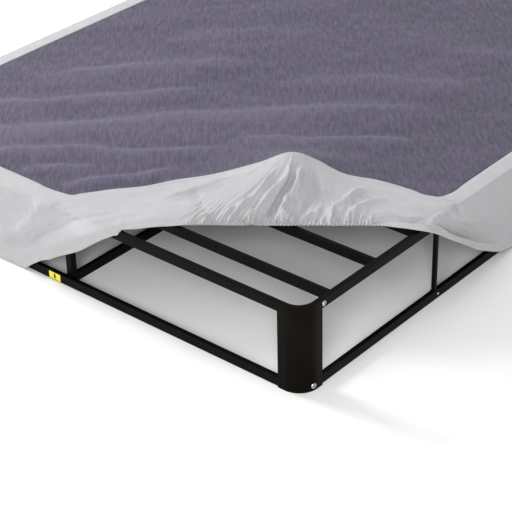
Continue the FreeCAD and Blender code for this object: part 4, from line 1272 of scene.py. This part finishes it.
    def top_height(self, plan: np.ndarray, seam: np.ndarray) -> np.ndarray:
        """Height of the top cloth over points in plan: lift at the seam, wrinkles and a soft crinkle."""
        level = self.bed.cover_top - self.thickness
        gap = np.full(len(plan), 1e9)
        weight = np.zeros(len(plan))
        lift = np.zeros(len(plan))
        for point in seam:
            away = np.linalg.norm(plan - point[:2], axis=1)
            gap = np.minimum(gap, away)
            share = 1.0 / (away**2 + (3.0 * MM) ** 2) ** 2
            weight += share
            lift += share * (point[2] - level)
        lift = lift / weight * np.exp(-((gap / 0.16) ** 1.3))
        return level + lift + smoothstep(0.0, 0.03, gap) * self.wrinkles(plan)

    def wrinkles(self, plan: np.ndarray) -> np.ndarray:
        """Height of the ridges and crinkles of the top cloth."""
        inward = np.column_stack([self.bed.half_width - plan[:, 0], plan[:, 1] + self.bed.half_length]) / MM
        total = sum(wrinkle.height(inward, seed) for seed, wrinkle in enumerate(TOP_WRINKLES))
        turn = math.radians(45.0)
        across = inward @ np.array([math.cos(turn), math.sin(turn)])
        down = inward @ np.array([-math.sin(turn), math.cos(turn)])
        for size, rise, seed in ((150.0, 2.2, 11), (70.0, 1.1, 12), (34.0, 0.5, 13)):
            total += rise * value_noise(np.column_stack([across / size, down / (2.6 * size)]), seed)
        return np.maximum(total, -1.2) * MM

    def top_cloth(self) -> bpy.types.Object:
        """The grey cloth over the slats, sewn to the skirt all round."""
        seam = self.seam_line()
        low, high = seam[:, :2].min(0), seam[:, :2].max(0)
        across = np.arange(low[0] + self.cloth_pitch, high[0], self.cloth_pitch)
        down = np.arange(low[1] + self.cloth_pitch, high[1], self.cloth_pitch)
        inner = np.stack(np.meshgrid(across, down, indexing="ij"), axis=-1).reshape(-1, 2)
        inner = inner[self.inside(inner, seam[:, :2])]
        plan = np.vstack([seam[:, :2], inner])
        ring = [(number, (number + 1) % len(seam)) for number in range(len(seam))]
        points, _, faces, origins, _, _ = delaunay_2d_cdt(
            [Vector(point) for point in plan], ring, [list(range(len(seam)))], 1, 1e-6)
        flat = np.array([tuple(point) for point in points])
        height = self.top_height(flat, seam)
        for number, origin in enumerate(origins):
            if origin and origin[0] < len(seam):
                height[number] = seam[origin[0], 2]
        piece = mesh_object("cover_top_cloth", np.column_stack([flat, height]), [tuple(face) for face in faces], flat)
        # Crest mask for the painted highlight on the grey cloth's wrinkle crests.
        crest = np.clip(self.wrinkles(flat) / self.full_crest, 0.0, 1.0)
        layer = piece.data.attributes.new(CREST, "FLOAT", "POINT")
        layer.data.foreach_set("value", crest.astype(np.float32))
        wall = piece.modifiers.new("thickness", "SOLIDIFY")
        wall.thickness = 0.8 * MM
        wall.offset = -1.0
        apply_modifiers(piece)
        self.finisher.dress(piece, Slot.TOP_CLOTH, "cover")
        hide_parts("cover_top_panel")
        return piece

    def inside(self, places: np.ndarray, outline: np.ndarray) -> np.ndarray:
        """Which places lie inside an outline and at least half a pitch from it."""
        count = np.zeros(len(places), dtype=int)
        gap = np.full(len(places), 1e9)
        for start, end in zip(outline, np.roll(outline, -1, axis=0)):
            crosses = (start[1] > places[:, 1]) != (end[1] > places[:, 1])
            rise = end[1] - start[1] if abs(end[1] - start[1]) > 1e-12 else 1e-12
            meet = start[0] + (places[:, 1] - start[1]) * (end[0] - start[0]) / rise
            count += crosses & (places[:, 0] < meet)
            gap = np.minimum(gap, np.linalg.norm(places - start, axis=1))
        return (count % 2 == 1) & (gap > 0.55 * self.cloth_pitch)

    def elastic_band(self, name: str, spans: list[tuple[float, float]], nodes: tuple[str, ...]
                     ) -> bpy.types.Object:
        """Elastic sewn inside the hem over some spans of the skirt."""
        parts = []
        for number, (start, end) in enumerate(spans):
            columns = self.spaced([(start, end, 1.6 * MM)])
            rows = self.spaced([(self.shape.depth - 12.0 * MM, self.shape.depth - 2.0 * MM, 2.5 * MM)])
            grid = self.surface(columns, rows)
            grid = grid - surface_normals(grid) * (self.thickness + 0.9 * MM)
            flat = np.stack(np.meshgrid(columns, rows, indexing="ij"), axis=-1).reshape(-1, 2)
            part = mesh_object(f"{name}_{number}", grid.reshape(-1, 3), grid_faces(len(columns), len(rows)), flat)
            wall = part.modifiers.new("thickness", "SOLIDIFY")
            wall.thickness = 0.8 * MM
            apply_modifiers(part)
            parts.append(part)
        piece = join(name, parts)
        self.finisher.dress(piece, Slot.ELASTIC, "cover")
        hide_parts(*nodes)
        return piece

    def build(self) -> None:
        turned, fitted, top = self.turned_skirt(), self.fitted_skirt(), self.top_cloth()
        turned_elastic = self.elastic_band("turned_corner_elastic_band", [self.shape.gather],
                                           ("turned_corner_elastic",))
        reach = self.shape.corner_reach
        spans = [(corner - reach, corner + reach) for corner in self.perimeter.fitted_corners]
        fitted_elastic = self.elastic_band("fitted_corner_elastic_bands", spans, ("fitted_corner_elastics",))


# ---------------------------------------------------------------- studio and camera
@dataclass
class Studio:
    """Pale floor, soft lights and the camera."""

    bed: Bed
    azimuth: float = 40.82
    elevation: float = 31.44
    roll: float = -1.32
    lens: float = 116.46
    camera_from_corner: Point = (1.8914, -2.3393, 2.2151)

    def floor(self) -> None:
        """Wide floor just under the bed."""
        bpy.ops.object.select_all(action="DESELECT")
        bpy.ops.mesh.primitive_plane_add(size=60.0, location=(0.0, 0.0, -0.3 * MM))
        floor = bpy.context.object
        floor.name = "floor"
        floor.data.materials.append(Ground().build())

    def area_light(self, name: str, place: Point, aim: Point, size: float, power: float) -> None:
        """One square soft light.

        Args:
            name: name of the light.
            place: where it hangs.
            aim: point that it faces.
            size: length of its side.
            power: its power in watts.
        """
        light = bpy.data.lights.new(name, "AREA")
        light.shape, light.size, light.energy = "SQUARE", size, power
        lamp = bpy.data.objects.new(name, light)
        lamp.location = place
        lamp.rotation_euler = (Vector(aim) - Vector(place)).to_track_quat("-Z", "Y").to_euler()
        bpy.context.scene.collection.objects.link(lamp)

    def lights(self) -> None:
        """Bright even world with a key from the left and a fill from the right."""
        world = bpy.data.worlds.new("studio")
        world.use_nodes = True
        world.node_tree.nodes["Background"].inputs["Color"].default_value = (1.0, 1.0, 1.0, 1.0)
        world.node_tree.nodes["Background"].inputs["Strength"].default_value = 0.55
        bpy.context.scene.world = world
        self.area_light("key", (-4.0, -1.2, 2.5), (0.3, -0.6, 0.2), 1.6, 235.0)
        self.area_light("front", (2.9, -4.4, 2.6), (0.2, -0.3, 0.1), 1.8, 185.0)
        self.area_light("back", (0.5, 5.0, 3.2), (0.0, 0.4, 0.2), 2.4, 80.0)

    def camera(self) -> None:
        """Camera above the turned corner."""
        azimuth, elevation, roll = (math.radians(angle) for angle in (self.azimuth, self.elevation, self.roll))
        back = Vector((math.sin(azimuth) * math.cos(elevation), -math.cos(azimuth) * math.cos(elevation),
                       math.sin(elevation)))
        level_right = (-back).cross(Vector((0.0, 0.0, 1.0))).normalized()
        level_up = level_right.cross(-back)
        right = math.cos(roll) * level_right + math.sin(roll) * level_up
        up = -math.sin(roll) * level_right + math.cos(roll) * level_up
        lens = bpy.data.cameras.new("camera")
        lens.lens, lens.sensor_width = self.lens, 36.0
        lens.clip_start, lens.clip_end = 0.05, 200.0
        camera = bpy.data.objects.new("camera", lens)
        place = Vector((self.bed.half_width, -self.bed.half_length, 0.0)) + Vector(self.camera_from_corner)
        turn = Matrix((right, up, back)).transposed().to_4x4()
        camera.matrix_world = Matrix.Translation(place) @ turn
        bpy.context.scene.collection.objects.link(camera)
        bpy.context.scene.camera = camera

    def build(self) -> None:
        """Set up the floor, the lights and the camera."""
        self.floor()
        self.lights()
        self.camera()
        bpy.context.scene.view_settings.view_transform = "Standard"


def main() -> None:
    """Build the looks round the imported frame."""
    logging.basicConfig(level=logging.INFO, format="%(name)s: %(message)s")
    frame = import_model()
    bed = Bed.read()
    finisher = Finisher()
    finisher.dress_nodes(frame)
    Studio(bed).build()
    details = SteelDetails(bed, finisher)
    details.post_welds()
    # Dark discs in the bolt sockets are painted shade.
    details.painted_socket_shade(frame)
    details.sticker_arrow()
    FittedCover(bed, finisher).build()


if __name__ == "__main__":
    main()
